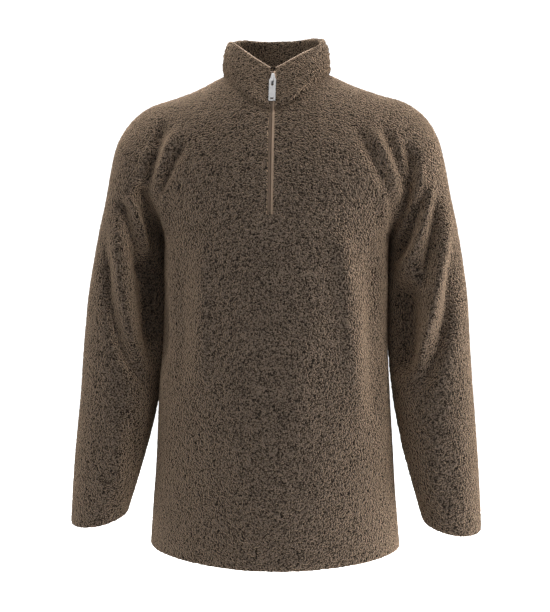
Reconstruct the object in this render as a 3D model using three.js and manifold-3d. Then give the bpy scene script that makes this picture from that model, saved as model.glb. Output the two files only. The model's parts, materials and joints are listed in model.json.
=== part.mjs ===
import * as THREE from "three";
import { mergeVertices } from "three/addons/utils/BufferGeometryUtils.js";
import Module from "manifold-3d";

// Half-zip fleece pullover, worn shape with nobody in it. Millimetres, +Z up, -Y is the front.
// The origin is the middle of the neck opening, 11 mm above the neck ends of the shoulder seams.

// ---------------------------------------------------------------- driving dimensions
const CLOTH = 3; // wall of the sherpa fleece
const COLLAR_CLOTH = 5; // the stand collar is two layers
const SEAM_GAP = 0.3; // between two sewn pieces
const MITRE_LIMIT = 0.6; // least cosine at a seam before the wall gets thinner there

const SEAM_Y = -8; // plane of the side and shoulder seams
const HEM_Z = -714;
const UNDERARM_Z = -250;

const HEM_SWING = -3.5; // the lower half hangs a little to the wearer's right of the neck
const SWING_START = -150; // height below which it moves over, and where it has moved over in full
const SWING_END = -420;
const HEM_SIDE_RISE = 7; // the hem is higher at the side seams than in front
const HEM_RISE_SPREAD = 0.8; // share of the way to the side seam over which it rises
const NECK_HALF_WIDTH = 79;
const NECK_FRONT = 86; // ahead of the shoulder seam
const NECK_BACK = 63; // behind it
const NECK_ROUNDNESS = 2.1;
const SHOULDER_X = 203; // where the shoulder seam meets the sleeve

const ZIP_SLIT = 11; // opening between the two cut edges
const TAPE_GAP = 1.5; // dark line between the two tapes
const TAPE_HALF_WIDTH = 12; // of the pair, where they lie behind the chest
const TAPE_CLOTH = 0.8;
const TAPE_DEPTH_CHEST = CLOTH + SEAM_GAP; // below the face of the cloth, so behind it
const TAPE_DEPTH_NECK = 2.7; // where it passes from one to the other
const TAPE_DEPTH_COLLAR = 2.2; // between the two layers of the collar
const TAPE_BELOW_RIM = 1;
const TAPE_FOOT = 0.3; // share of a row that the tape keeps below the slit's first row
const CHAIN_WIDTH = 4.8;
const CHAIN_DEPTH = 1.6;
const CHAIN_CLEAR = 0.5; // from the slider's divider

// Slider and pull tab, seen square on: heights are measured down from the top of the slider.
const SLIDER_BELOW_RIM = 6;
const SLIDER_LENGTH = 17.5;
const SLIDER_TOP_WIDTH = 5;
const SLIDER_WIDTH = 9;
const SLIDER_TAPER = 11.5;
const SLIDER_PLATE = 1.4;
const SLIDER_BACK_PLATE = 1.2;
const DIVIDER = { top: 1.5, bottom: 4.5, width: 0.9 };
const BRIDGE = { top: 9.4, bottom: 16.3, width: 2.1, foot: 1.5, clear: 3.6, crown: 1.2 };
const PULL_AXIS = 12.85;
const PULL_LIFT = 1.9; // of the hinge axis above the slider's face
const PULL = { width: 10, length: 35, plate: 1.6, bar: 2.7, corner: 1.2 };
const PULL_WINDOW = { width: 2.6, height: 5.6 };
const PULL_SLOT = { width: 4.8, height: 2.8, above: 2 };
const SINK = 0.5; // overlap of the slider's plates and bars before they are joined

// Torso sections from the hem to the underarm: half width, reach ahead of and behind the side seams.
const TORSO = [
  { z: HEM_Z, halfWidth: 187, front: 129, back: 121, squareness: 2.1 },
  { z: -600, halfWidth: 178.5, front: 124, back: 113, squareness: 2.15 },
  { z: -500, halfWidth: 173.5, front: 119, back: 106, squareness: 2.25 },
  { z: -400, halfWidth: 168.5, front: 113, back: 102, squareness: 2.35 },
  { z: -330, halfWidth: 167, front: 109, back: 103, squareness: 2.45 },
  { z: UNDERARM_Z, halfWidth: 168, front: 107, back: 108, squareness: 2.5 },
];

// Above the underarm the section widens towards the shoulders: rise above the underarm, half width.
const YOKE = [
  { rise: 0, halfWidth: 168 },
  { rise: 20, halfWidth: 174 },
  { rise: 40, halfWidth: 186 },
  { rise: 70, halfWidth: 212 },
  { rise: 100, halfWidth: 238 },
  { rise: 140, halfWidth: 260 },
  { rise: 200, halfWidth: 271 },
  { rise: 260, halfWidth: 272 },
];

// Height of the shoulder line by distance from the middle.
const SHOULDER_LINE = [
  { x: 0, z: 8 },
  { x: 40, z: 5 },
  { x: 80, z: -11.5 },
  { x: 114, z: -28 },
  { x: 150, z: -41 },
  { x: 185, z: -51.5 },
  { x: 205, z: -62 },
];

// Armhole as a distance from the middle, by share of the way from the underarm to the shoulder seam.
const ARMHOLE = [
  { share: 0, x: 168 },
  { share: 0.08, x: 165 },
  { share: 0.25, x: 160 },
  { share: 0.5, x: 162 },
  { share: 0.75, x: 175 },
  { share: 0.9, x: 189 },
  { share: 1, x: SHOULDER_X },
];

// How the chest and the back round over to the shoulder seam.
const FRONT_ARCH = 2.2;
const BACK_ARCH = 3;
const YOKE_PACE = 1.35; // the rows lie closer together just above the underarm
const YOKE_EVEN_ROWS = 0.35; // share of the yoke over which the columns spread to even steps
const NECK_RISE = 200; // height above the underarm at which the neckline is read

// Sleeve rings from the armhole to the cuff: outer and inner point, middle and half depth of each ring,
// and how far its front hangs lower than those two points.
const SLEEVE = [
  { ring: 0, outerX: 203, outerZ: -61, innerX: 168, innerZ: -250, y: -8, halfDepth: 86, frontDrop: 0 },
  { ring: 1, outerX: 219, outerZ: -74, innerX: 170.5, innerZ: -251.5, y: -8, halfDepth: 83, frontDrop: 0 },
  { ring: 2, outerX: 233, outerZ: -94, innerX: 171.5, innerZ: -255, y: -8, halfDepth: 80, frontDrop: 0 },
  { ring: 3, outerX: 243.5, outerZ: -120, innerX: 171.2, innerZ: -261, y: -8, halfDepth: 77, frontDrop: 0 },
  { ring: 4, outerX: 251.5, outerZ: -156, innerX: 170.5, innerZ: -268, y: -8, halfDepth: 74.5, frontDrop: 0 },
  { ring: 5, outerX: 258.5, outerZ: -196, innerX: 169.6, innerZ: -277, y: -9, halfDepth: 72, frontDrop: 0 },
  { ring: 6, outerX: 268, outerZ: -240, innerX: 168.8, innerZ: -292, y: -10, halfDepth: 69, frontDrop: 0 },
  { ring: 7, outerX: 276, outerZ: -287, innerX: 168.3, innerZ: -317, y: -11, halfDepth: 66, frontDrop: 0 },
  { ring: 8, outerX: 283, outerZ: -340, innerX: 168.6, innerZ: -354, y: -13, halfDepth: 64, frontDrop: 0 },
  { ring: 9, outerX: 287.5, outerZ: -405, innerX: 170, innerZ: -408, y: -17, halfDepth: 61, frontDrop: 1 },
  { ring: 10, outerX: 292, outerZ: -485, innerX: 174.5, innerZ: -480, y: -23, halfDepth: 57, frontDrop: 2 },
  { ring: 11, outerX: 297, outerZ: -560, innerX: 187, innerZ: -550, y: -30, halfDepth: 53, frontDrop: 4 },
  { ring: 12, outerX: 299.5, outerZ: -620, innerX: 201.5, innerZ: -608, y: -36, halfDepth: 49, frontDrop: 6 },
  { ring: 13, outerX: 301, outerZ: -670, innerX: 217, innerZ: -661, y: -40, halfDepth: 45, frontDrop: 8 },
];
const ARMHOLE_EASE_RINGS = 2.5; // rings over which the armhole's own shape fades out

// Collar rim by angle from the front middle: height.
const RIM = [
  { angle: 0, z: -18 },
  { angle: 17, z: -5 },
  { angle: 28, z: 4 },
  { angle: 42, z: 16 },
  { angle: 56, z: 26.5 },
  { angle: 80, z: 38.5 },
  { angle: 105, z: 48.5 },
  { angle: 130, z: 56.5 },
  { angle: 180, z: 58 },
];
const RIM_HALF_WIDTH = 71;
const RIM_FRONT = 64; // ahead of the shoulder seam
const RIM_BACK = 64; // behind it
const COLLAR_BULGE = 3; // the collar's middle stands out past a straight line
const RIM_TURN = 3; // power by which the sides and back turn in towards the rim

// Folds of the front and the back, each along a line from x0, z0 to x1, z1: troughs are negative,
// ridges positive, fading over the width.
const FOLDS = [
  { side: "front", x0: -163, z0: -305, x1: -174, z1: -248, width: 12, depth: -8 },
  { side: "front", x0: -174, z0: -248, x1: -199, z1: -203, width: 14, depth: -8 },
  { side: "front", x0: -119, z0: -117, x1: -175, z1: -183, width: 14, depth: -5 },
  { side: "front", x0: -142, z0: -112, x1: -180, z1: -172, width: 12, depth: 4 },
  { side: "front", x0: -161, z0: -128, x1: -189, z1: -172, width: 12, depth: -5 },
  { side: "front", x0: -231, z0: -196, x1: -207, z1: -250, width: 13, depth: -5 },
  { side: "front", x0: -238, z0: -240, x1: -190, z1: -456, width: 20, depth: 3 },
  { side: "front", x0: 165, z0: -318, x1: 171, z1: -262, width: 12, depth: -8 },
  { side: "front", x0: 171, z0: -262, x1: 183, z1: -218, width: 13, depth: -8 },
  { side: "front", x0: 123, z0: -124, x1: 172, z1: -188, width: 14, depth: -5 },
  { side: "front", x0: 140, z0: -114, x1: 180, z1: -180, width: 12, depth: 4 },
  { side: "front", x0: 172, z0: -135, x1: 187, z1: -188, width: 12, depth: -5 },
  { side: "front", x0: 213, z0: -196, x1: 184, z1: -275, width: 13, depth: 5 },
  { side: "front", x0: 238, z0: -187, x1: 221, z1: -290, width: 14, depth: -5 },
  { side: "front", x0: 246, z0: -233, x1: 190, z1: -456, width: 20, depth: 4 },
  { side: "back", x0: -150, z0: -150, x1: -178, z1: -215, width: 16, depth: -5 },
  { side: "back", x0: -176, z0: -215, x1: -170, z1: -300, width: 13, depth: -6 },
  { side: "back", x0: 146, z0: -142, x1: 177, z1: -212, width: 16, depth: -5 },
  { side: "back", x0: 176, z0: -218, x1: 169, z1: -292, width: 13, depth: -6 },
];

const FOLD_TURN = 0.6; // share by which the cloth faces that side where a fold has its whole depth

// Counts of the grid.
const NECK_COLUMNS = 5;
const BACK_NECK_COLUMNS = 5;
const SHOULDER_COLUMNS = 6;
const TORSO_ROWS = 11;
const SLIT_ROW = TORSO_ROWS + 2; // where the zip slit starts
const YOKE_ROWS = 14;
const ARM_STEPS = [0.5, 1, 1.5, 2, 3, 4, 4.5, 5, 5.5, 6, 6.5, 7, 8, 9, 10, 11, 12, 13];
const COLLAR_ROWS = 5;

// ---------------------------------------------------------------- tools
const clamp = (value, low, high) => Math.min(Math.max(value, low), high);
const mix = (a, b, t) => a + (b - a) * t;
const smooth = (low, high, value) => {
  const t = clamp((value - low) / (high - low), 0, 1);
  return t * t * (3 - 2 * t);
};

// A column of a table, read between its rows by a cubic curve.
function read(table, by, at, column) {
  const last = table.length - 1;
  let i = 0;
  while (i < last - 1 && at > table[i + 1][by]) i += 1;
  const slope = (k) => {
    const low = table[Math.max(k - 1, 0)];
    const high = table[Math.min(k + 1, last)];
    return (high[column] - low[column]) / (high[by] - low[by]);
  };
  const run = table[i + 1][by] - table[i][by];
  const t = clamp((at - table[i][by]) / run, 0, 1);
  const rise = table[i + 1][column] - table[i][column];
  const bend = slope(i) * run * t * (1 - t) * (1 - t) - slope(i + 1) * run * t * t * (1 - t);
  return table[i][column] + rise * t * t * (3 - 2 * t) + bend;
}

// ---------------------------------------------------------------- body surface
const shoulderZ = (x) => read(SHOULDER_LINE, "x", clamp(Math.abs(x), 0, 205), "z");

// Reach of the yoke's section at x, before it rounds over to the shoulder.
function yokeReach(x, rise, depth, squareness) {
  const halfWidth = read(YOKE, "rise", rise, "halfWidth");
  const share = clamp(Math.abs(x) / halfWidth, 0, 1);
  return depth * (1 - share ** squareness) ** (1 / squareness);
}

const top = TORSO[TORSO.length - 1];

// Share of the way up to the shoulder line at which the neckline cuts the column that ends at x.
function neckShare(x, front) {
  const depth = front ? top.front : top.back;
  const arch = front ? FRONT_ARCH : BACK_ARCH;
  const out = clamp(Math.abs(x) / NECK_HALF_WIDTH, 0, 1);
  const round = (1 - out ** NECK_ROUNDNESS) ** (1 / NECK_ROUNDNESS);
  const neck = (front ? NECK_FRONT : NECK_BACK) * round;
  const reach = yokeReach(x, NECK_RISE, depth, top.squareness);
  return (1 - (neck / reach) ** arch) ** (1 / arch);
}

// A point of the front or back: side is -1 or 1, across runs 0 to 1 from the middle to the side,
// up runs 0 to 1 from hem to underarm and 1 to 2 on to the shoulder seam or neckline.
function bodyPoint(front, side, start, across, up) {
  const facing = front ? -1 : 1;
  const depthName = front ? "front" : "back";
  const arch = front ? FRONT_ARCH : BACK_ARCH;
  const yokeUp = clamp(up - 1, 0, 1) ** YOKE_PACE;
  const row = Math.sin((yokeUp * Math.PI) / 2) ** (2 / arch);
  const round = 1 - smooth(0, YOKE_EVEN_ROWS, row);
  const even = Math.sin((across * Math.PI) / 2);
  const share = mix(across, even, round);
  if (up <= 1) {
    const hem = HEM_Z + HEM_SIDE_RISE * smooth(0, HEM_RISE_SPREAD, across);
    const z = mix(hem, UNDERARM_Z, up);
    const halfWidth = read(TORSO, "z", z, "halfWidth");
    const squareness = read(TORSO, "z", z, "squareness");
    const x = mix(start, side * halfWidth, share);
    const out = clamp(Math.abs(x) / halfWidth, 0, 1);
    const reach = read(TORSO, "z", z, depthName) * (1 - out ** squareness) ** (1 / squareness);
    return new THREE.Vector3(x, SEAM_Y + facing * reach, z);
  }
  const edge = read(ARMHOLE, "share", row, "x");
  const x = mix(start, side * edge, share);
  const topX = mix(start, side * SHOULDER_X, across);
  const height = row * neckShare(topX, front);
  const z = mix(UNDERARM_Z, shoulderZ(x), height);
  const reach = yokeReach(x, z - UNDERARM_Z, top[depthName], top.squareness);
  const y = SEAM_Y + facing * reach * (1 - height ** arch) ** (1 / arch);
  return new THREE.Vector3(x, y, z);
}

// Where the front or back starts beside the zip slit, or in the middle where there is no slit.
const slitEdge = (side) => (side * ZIP_SLIT) / 2;

// Positions across half a panel: even steps inside the neck, then even steps along the shoulder.
function halfColumns(side, start, neckColumns) {
  const neck = (side * NECK_HALF_WIDTH - start) / (side * SHOULDER_X - start);
  const steps = [];
  for (let i = 0; i < neckColumns; i += 1) steps.push((neck * i) / neckColumns);
  for (let i = 0; i <= SHOULDER_COLUMNS; i += 1) steps.push(mix(neck, 1, i / SHOULDER_COLUMNS));
  return steps;
}

function bodyHalf(front, side, start, neckColumns) {
  const rows = TORSO_ROWS + YOKE_ROWS;
  return halfColumns(side, start, neckColumns).map((across) => {
    const column = [];
    for (let j = 0; j <= rows; j += 1) {
      const up = j <= TORSO_ROWS ? j / TORSO_ROWS : 1 + (j - TORSO_ROWS) / YOKE_ROWS;
      column.push(bodyPoint(front, side, start, across, up));
    }
    return column;
  });
}

const frontHalves = {
  right: bodyHalf(true, -1, slitEdge(-1), NECK_COLUMNS),
  left: bodyHalf(true, 1, slitEdge(1), NECK_COLUMNS),
};
const backHalves = {
  right: bodyHalf(false, -1, 0, BACK_NECK_COLUMNS),
  left: bodyHalf(false, 1, 0, BACK_NECK_COLUMNS),
};
const frontGrid = [...frontHalves.right].reverse().concat(frontHalves.left);
const backGrid = [...backHalves.right].reverse().concat(backHalves.left.slice(1));

// ---------------------------------------------------------------- sleeve surface
function ringPoint(side, around, ring) {
  const size = (column) => read(SLEEVE, "ring", ring, column);
  const outer = new THREE.Vector3(size("outerX"), 0, size("outerZ"));
  const inner = new THREE.Vector3(size("innerX"), 0, size("innerZ"));
  const angle = around * Math.PI;
  const point = inner.lerp(outer, (1 - Math.cos(angle)) / 2);
  point.y = size("y") - size("halfDepth") * Math.sin(angle);
  point.z -= size("frontDrop") * Math.sin(angle);
  point.x *= side;
  return point;
}

// Armhole points from the underarm up the front and down the back, with their share round the ring.
function armhole(side) {
  const name = side < 0 ? "right" : "left";
  const up = frontHalves[name].at(-1).slice(TORSO_ROWS);
  const down = backHalves[name].at(-1).slice(TORSO_ROWS);
  const shares = (points) => {
    const lengths = [0];
    for (let i = 1; i < points.length; i += 1) {
      lengths.push(lengths[i - 1] + points[i].distanceTo(points[i - 1]));
    }
    return lengths.map((length) => length / lengths.at(-1));
  };
  const front = shares(up).map((share, i) => ({ point: up[i], around: share }));
  const back = shares(down).map((share, i) => ({ point: down[i], around: -share }));
  return [...front, ...back.slice(1, -1).reverse()];
}

function sleeveGrid(side) {
  return armhole(side).map(({ point, around }) => {
    const own = point.clone().sub(ringPoint(side, around, 0));
    const rings = ARM_STEPS.map((ring) => {
      const ease = 1 - smooth(0, ARMHOLE_EASE_RINGS, ring);
      return ringPoint(side, around, ring).addScaledVector(own, ease);
    });
    return [point.clone(), ...rings];
  });
}

// ---------------------------------------------------------------- collar surface
function rimPoint(base) {
  const out = base.x;
  const ahead = SEAM_Y - base.y;
  const angle = Math.atan2(Math.abs(out) / NECK_HALF_WIDTH, ahead / (ahead > 0 ? NECK_FRONT : NECK_BACK));
  const reach = angle < Math.PI / 2 ? RIM_FRONT : RIM_BACK;
  const x = Math.max(RIM_HALF_WIDTH * Math.sin(angle), Math.min(Math.abs(out), ZIP_SLIT / 2));
  const z = read(RIM, "angle", THREE.MathUtils.radToDeg(angle), "z");
  return new THREE.Vector3(Math.sign(out) * x, SEAM_Y - reach * Math.cos(angle), z);
}

function collarGrid() {
  const leftFront = frontHalves.left.slice(0, NECK_COLUMNS + 1);
  const rightFront = frontHalves.right.slice(0, NECK_COLUMNS + 1).reverse();
  const leftBack = backHalves.left.slice(0, BACK_NECK_COLUMNS).reverse();
  const rightBack = backHalves.right.slice(1, BACK_NECK_COLUMNS);
  const base = [...leftFront, ...leftBack, ...rightBack, ...rightFront].map((column) => column.at(-1));
  return base.map((point) => {
    const rim = rimPoint(point);
    const outward = new THREE.Vector3(point.x, point.y - SEAM_Y, 0).normalize();
    const column = [];
    for (let j = 0; j <= COLLAR_ROWS; j += 1) {
      const up = j / COLLAR_ROWS;
      const beside = smooth(ZIP_SLIT / 2, ZIP_SLIT * 3, Math.abs(point.x));
      const bulge = 4 * COLLAR_BULGE * beside * up * (1 - up);
      const turned = up ** mix(1, RIM_TURN, clamp(1 + outward.y, 0, 1));
      const level = point.clone().lerp(rim, turned).setZ(mix(point.z, rim.z, up));
      column.push(level.addScaledVector(outward, bulge));
    }
    return column;
  });
}

// ---------------------------------------------------------------- cloth walls
// A panel is a grid of points, columns across and rows up, with its outer face to the right hand.
const panels = [
  { name: "front_panel", grid: frontGrid, wrap: false, cloth: CLOTH },
  { name: "back_panel", grid: [...backGrid].reverse(), wrap: false, cloth: CLOTH },
  { name: "sleeve_right", grid: sleeveGrid(-1), wrap: true, cloth: CLOTH },
  { name: "sleeve_left", grid: sleeveGrid(1).reverse(), wrap: true, cloth: CLOTH },
  { name: "collar", grid: collarGrid(), wrap: false, cloth: COLLAR_CLOTH },
];

const slitColumn = frontHalves.right.length - 1;
const isSlit = (panel, i, j) => panel.name === "front_panel" && i === slitColumn && j >= SLIT_ROW;

const key = (point) => point.toArray().map((value) => Math.round(value * 100)).join(",");

// Normals shared by every panel that meets at a point.
function sharedNormals() {
  const normals = new Map();
  for (const panel of panels) {
    const { grid } = panel;
    const columns = grid.length;
    panel.normals = grid.map((column) => column.map(() => new THREE.Vector3()));
    for (let i = 0; i < columns - (panel.wrap ? 0 : 1); i += 1) {
      const next = (i + 1) % columns;
      for (let j = 0; j < grid[0].length - 1; j += 1) {
        const cell = [grid[i][j], grid[next][j], grid[next][j + 1], grid[i][j + 1]];
        const across = cell[2].clone().sub(cell[0]);
        const face = across.cross(cell[3].clone().sub(cell[1])).normalize();
        const places = [[i, j], [next, j], [next, j + 1], [i, j + 1]];
        places.forEach(([a, b]) => panel.normals[a][b].add(face));
      }
    }
    panel.normals.forEach((column, i) =>
      column.forEach((normal, j) => {
        normal.normalize();
        const id = key(grid[i][j]);
        normals.set(id, (normals.get(id) ?? new THREE.Vector3()).add(normal));
      }),
    );
  }
  normals.forEach((normal) => normal.normalize());
  return normals;
}

// Height of the folds at a point, counted only where the cloth faces that side.
function foldHeight(point, normal) {
  let height = 0;
  for (const fold of FOLDS) {
    const facing = fold.side === "front" ? -normal.y : normal.y;
    const run = new THREE.Vector2(fold.x1 - fold.x0, fold.z1 - fold.z0);
    const off = new THREE.Vector2(point.x - fold.x0, point.z - fold.z0);
    const t = clamp(off.dot(run) / run.lengthSq(), 0, 1);
    const distance = off.addScaledVector(run, -t).length();
    height += fold.depth * smooth(0, FOLD_TURN, facing) * Math.exp(-((distance / fold.width) ** 2));
  }
  return height;
}

function foldPanels() {
  const normals = sharedNormals();
  for (const panel of panels) {
    panel.grid = panel.grid.map((column) =>
      column.map((point) => {
        const normal = normals.get(key(point));
        const folded = point.clone().addScaledVector(normal, foldHeight(point, normal));
        folded.x += HEM_SWING * (1 - smooth(SWING_END, SWING_START, point.z));
        return folded;
      }),
    );
  }
}

// Offsets from the outer to the inner face, the same for all the panels that meet at a point.
function wallOffsets() {
  const normals = sharedNormals();
  const least = new Map();
  for (const panel of panels) {
    panel.grid.forEach((column, i) =>
      column.forEach((point, j) => {
        const id = key(point);
        const cosine = normals.get(id).dot(panel.normals[i][j]);
        least.set(id, Math.min(least.get(id) ?? 1, cosine));
      }),
    );
  }
  for (const panel of panels) {
    panel.offsets = panel.grid.map((column) =>
      column.map((point) => {
        const id = key(point);
        const reach = 1 / Math.max(MITRE_LIMIT, least.get(id));
        return normals.get(id).clone().multiplyScalar(-reach);
      }),
    );
  }
}

// Moves a panel's edge points half the seam gap away from the face it shares with its neighbour.
function seamGap(panel, i, j) {
  const { grid, wrap, offsets } = panel;
  const columns = grid.length;
  const rows = grid[0].length;
  const point = grid[i][j];
  const move = new THREE.Vector3();
  const away = (inside, before, after) => {
    const face = after.clone().sub(before).cross(offsets[i][j]).normalize();
    const side = Math.sign(face.dot(inside.clone().sub(point)));
    move.addScaledVector(face, (side * SEAM_GAP) / 2);
  };
  const left = wrap ? (i + columns - 1) % columns : Math.max(i - 1, 0);
  const right = wrap ? (i + 1) % columns : Math.min(i + 1, columns - 1);
  const below = Math.max(j - 1, 0);
  const above = Math.min(j + 1, rows - 1);
  if (!wrap && i === 0) away(grid[1][j], grid[i][below], grid[i][above]);
  if (!wrap && i === columns - 1) away(grid[i - 1][j], grid[i][below], grid[i][above]);
  if (j === 0) away(grid[i][2], grid[left][j], grid[right][j]);
  if (j === rows - 1) away(grid[i][j - 1], grid[left][j], grid[right][j]);
  return move;
}

// A closed wall from an outer and an inner grid of points: isCell says which cells exist.
function wallGeometry(outer, inner, wrap, isCell) {
  const columns = outer.length;
  const rows = outer[0].length;
  const index = [];
  const points = [...outer.flat(), ...inner.flat()];
  const out = (i, j) => (i % columns) * rows + j;
  const back = (i, j) => columns * rows + out(i, j);
  const quad = (a, b, c, d) => {
    const first = points[a].distanceTo(points[c]) <= points[b].distanceTo(points[d]);
    if (first) index.push(a, b, c, a, c, d);
    else index.push(b, c, d, b, d, a);
  };
  const edge = (i, j, k, l) => quad(out(i, j), back(i, j), back(k, l), out(k, l));
  const lastColumn = columns - (wrap ? 0 : 1);
  const exists = (i, j) => {
    const column = wrap ? (i + columns) % columns : i;
    const inGrid = column >= 0 && column < lastColumn && j >= 0 && j < rows - 1;
    return inGrid && isCell(column, j);
  };
  for (let i = 0; i < lastColumn; i += 1) {
    for (let j = 0; j < rows - 1; j += 1) {
      if (!exists(i, j)) continue;
      quad(out(i, j), out(i + 1, j), out(i + 1, j + 1), out(i, j + 1));
      quad(back(i, j), back(i, j + 1), back(i + 1, j + 1), back(i + 1, j));
      if (!exists(i, j - 1)) edge(i, j, i + 1, j);
      if (!exists(i, j + 1)) edge(i + 1, j + 1, i, j + 1);
      if (!exists(i - 1, j)) edge(i, j + 1, i, j);
      if (!exists(i + 1, j)) edge(i + 1, j, i + 1, j + 1);
    }
  }
  const geometry = new THREE.BufferGeometry();
  const positions = points.flatMap((point) => point.toArray());
  geometry.setAttribute("position", new THREE.Float32BufferAttribute(positions, 3));
  geometry.setIndex(index);
  return mergeVertices(geometry, 1e-4);
}

foldPanels();
wallOffsets();

// ---------------------------------------------------------------- materials
const finish = (colour, roughness, metalness) =>
  new THREE.MeshStandardMaterial({ color: colour, roughness, metalness });
const FLEECE = finish("#6b5d50", 0.95, 0);
const TAPE = finish("#8c7763", 0.8, 0);
const METAL = finish("#b4b4b4", 0.35, 1);

const pullover = new THREE.Group();
pullover.name = "half_zip_pullover";

function addMesh(name, geometry, material) {
  const mesh = new THREE.Mesh(geometry, material);
  mesh.name = name;
  pullover.add(mesh);
  return mesh;
}

const eachPoint = (grid, change) => grid.map((column, i) => column.map((point, j) => change(point, i, j)));

for (const panel of panels) {
  const { grid, offsets, cloth, wrap, name } = panel;
  const outer = eachPoint(grid, (point, i, j) => point.clone().add(seamGap(panel, i, j)));
  const inner = eachPoint(outer, (point, i, j) => point.clone().addScaledVector(offsets[i][j], cloth));
  addMesh(name, wallGeometry(outer, inner, wrap, (i, j) => !isSlit(panel, i, j)), FLEECE);
}

// ---------------------------------------------------------------- zip
const frontColumn = slitColumn + 1;
const chestPanel = panels.find((panel) => panel.name === "front_panel");
const collarPanel = panels.find((panel) => panel.name === "collar");

// Stations up the front edge: a point of the cloth's face, its inward direction, and the tape there.
function zipStations() {
  const stations = [];
  const add = (panel, i, j, halfWidth, depth) => {
    const inward = panel.offsets[i][j].clone().setX(0).normalize();
    stations.push({ point: panel.grid[i][j], inward, halfWidth, depth });
  };
  const narrow = ZIP_SLIT / 2 - SEAM_GAP;
  const neckRow = chestPanel.grid[0].length - 1;
  for (let j = SLIT_ROW; j <= neckRow; j += 1) {
    const width = j < neckRow - 2 ? TAPE_HALF_WIDTH : narrow;
    add(chestPanel, frontColumn, j, width, j < neckRow - 1 ? TAPE_DEPTH_CHEST : TAPE_DEPTH_NECK);
  }
  for (let j = 1; j <= COLLAR_ROWS; j += 1) add(collarPanel, 0, j, narrow, TAPE_DEPTH_COLLAR);
  const first = stations[0];
  const under = chestPanel.grid[frontColumn][SLIT_ROW - 1].clone().lerp(first.point, TAPE_FOOT);
  stations.unshift({ ...first, point: under });
  const last = stations.at(-1);
  const run = last.point.clone().sub(stations.at(-2).point).normalize();
  last.point = last.point.clone().addScaledVector(run, -TAPE_BELOW_RIM);
  return stations;
}

const stations = zipStations();

// A strip of tape cloth along the stations: from and to give its edges' distances from the middle at
// a station, and behind is how far its face lies behind the station's own depth.
function zipStrip(name, places, from, to, behind, thickness) {
  const outer = [from, to].map((edge) =>
    places.map((place) => {
      const point = place.point.clone().setX(place.point.x - slitEdge(1) + edge(place));
      return point.addScaledVector(place.inward, place.depth + behind);
    }),
  );
  const inner = eachPoint(outer, (point, i, j) => point.clone().addScaledVector(places[j].inward, thickness));
  addMesh(name, wallGeometry(outer, inner, false, () => true), TAPE);
}

const tapeInner = () => TAPE_GAP / 2;
const tapeOuter = (place) => place.halfWidth;
zipStrip("zip_tape_left", stations, tapeInner, tapeOuter, 0, TAPE_CLOTH);
zipStrip("zip_tape_right", stations, (place) => -tapeOuter(place), () => -tapeInner(), 0, TAPE_CLOTH);

// The slider's frame: its top near the rim, z up along the collar's edge, y out of the cloth.
const rimStation = stations.at(-1);
const sliderUp = rimStation.point.clone().sub(stations.at(-2).point).normalize();
const sliderFrame = new THREE.Group();
const outward = new THREE.Vector3(1, 0, 0).cross(sliderUp);
const sliderSide = new THREE.Vector3(1, 0, 0);
const sliderTurn = new THREE.Matrix4().makeBasis(sliderSide, outward.clone().negate(), sliderUp);
sliderFrame.quaternion.setFromRotationMatrix(sliderTurn);
sliderFrame.position
  .copy(rimStation.point)
  .setX(rimStation.point.x - slitEdge(1))
  .addScaledVector(sliderUp, TAPE_BELOW_RIM - SLIDER_BELOW_RIM);
pullover.add(sliderFrame);

// The chain ends inside the slider, just below its divider.
const chainDrop = SLIDER_BELOW_RIM - TAPE_BELOW_RIM + DIVIDER.bottom + CHAIN_CLEAR;
const chainTop = rimStation.point.clone().addScaledVector(sliderUp, -chainDrop);
const chainPlaces = stations.slice(1, -1).concat({ ...rimStation, point: chainTop });
const chainEdge = CHAIN_WIDTH / 2;
zipStrip("zip_chain", chainPlaces, () => -chainEdge, () => chainEdge, TAPE_CLOTH + SEAM_GAP, CHAIN_DEPTH);

const wasm = await Module();
wasm.setup();

// Joins closed shapes into one.
function joined(geometries) {
  const solids = geometries.map((geometry) => {
    const bare = geometry.clone();
    bare.deleteAttribute("normal");
    bare.deleteAttribute("uv");
    const merged = mergeVertices(bare, 1e-4);
    const vertProperties = merged.attributes.position.array;
    const triVerts = new Uint32Array(merged.index.array);
    return new wasm.Manifold(new wasm.Mesh({ numProp: 3, vertProperties, triVerts }));
  });
  const made = solids.reduce((whole, solid) => whole.add(solid)).getMesh();
  const result = new THREE.BufferGeometry();
  result.setAttribute("position", new THREE.BufferAttribute(made.vertProperties, 3));
  result.setIndex(new THREE.BufferAttribute(made.triVerts, 1));
  return result;
}

function addToSlider(name, geometry) {
  const mesh = addMesh(name, geometry, METAL);
  sliderFrame.add(mesh);
  return mesh;
}

// A box between low and high corners, in the slider's frame.
function block(low, high) {
  const size = high.map((value, k) => value - low[k]);
  const box = new THREE.BoxGeometry(...size);
  return box.translate(...low.map((value, k) => value + size[k] / 2));
}

// A flat plate of an outline drawn in x and z, from the front face y0 back to y1.
function plate(shape, y0, y1) {
  const settings = { depth: y1 - y0, bevelEnabled: false, curveSegments: 6 };
  const geometry = new THREE.ExtrudeGeometry(shape, settings);
  return geometry.rotateX(Math.PI / 2).translate(0, y1, 0);
}

function sliderOutline() {
  const outline = new THREE.Shape();
  const top = SLIDER_TOP_WIDTH / 2;
  const wide = SLIDER_WIDTH / 2;
  outline.moveTo(-top, 0);
  outline.lineTo(-wide, -SLIDER_TAPER);
  outline.lineTo(-wide, -SLIDER_LENGTH);
  outline.lineTo(wide, -SLIDER_LENGTH);
  outline.lineTo(wide, -SLIDER_TAPER);
  outline.lineTo(top, 0);
  outline.closePath();
  return outline;
}

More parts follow.
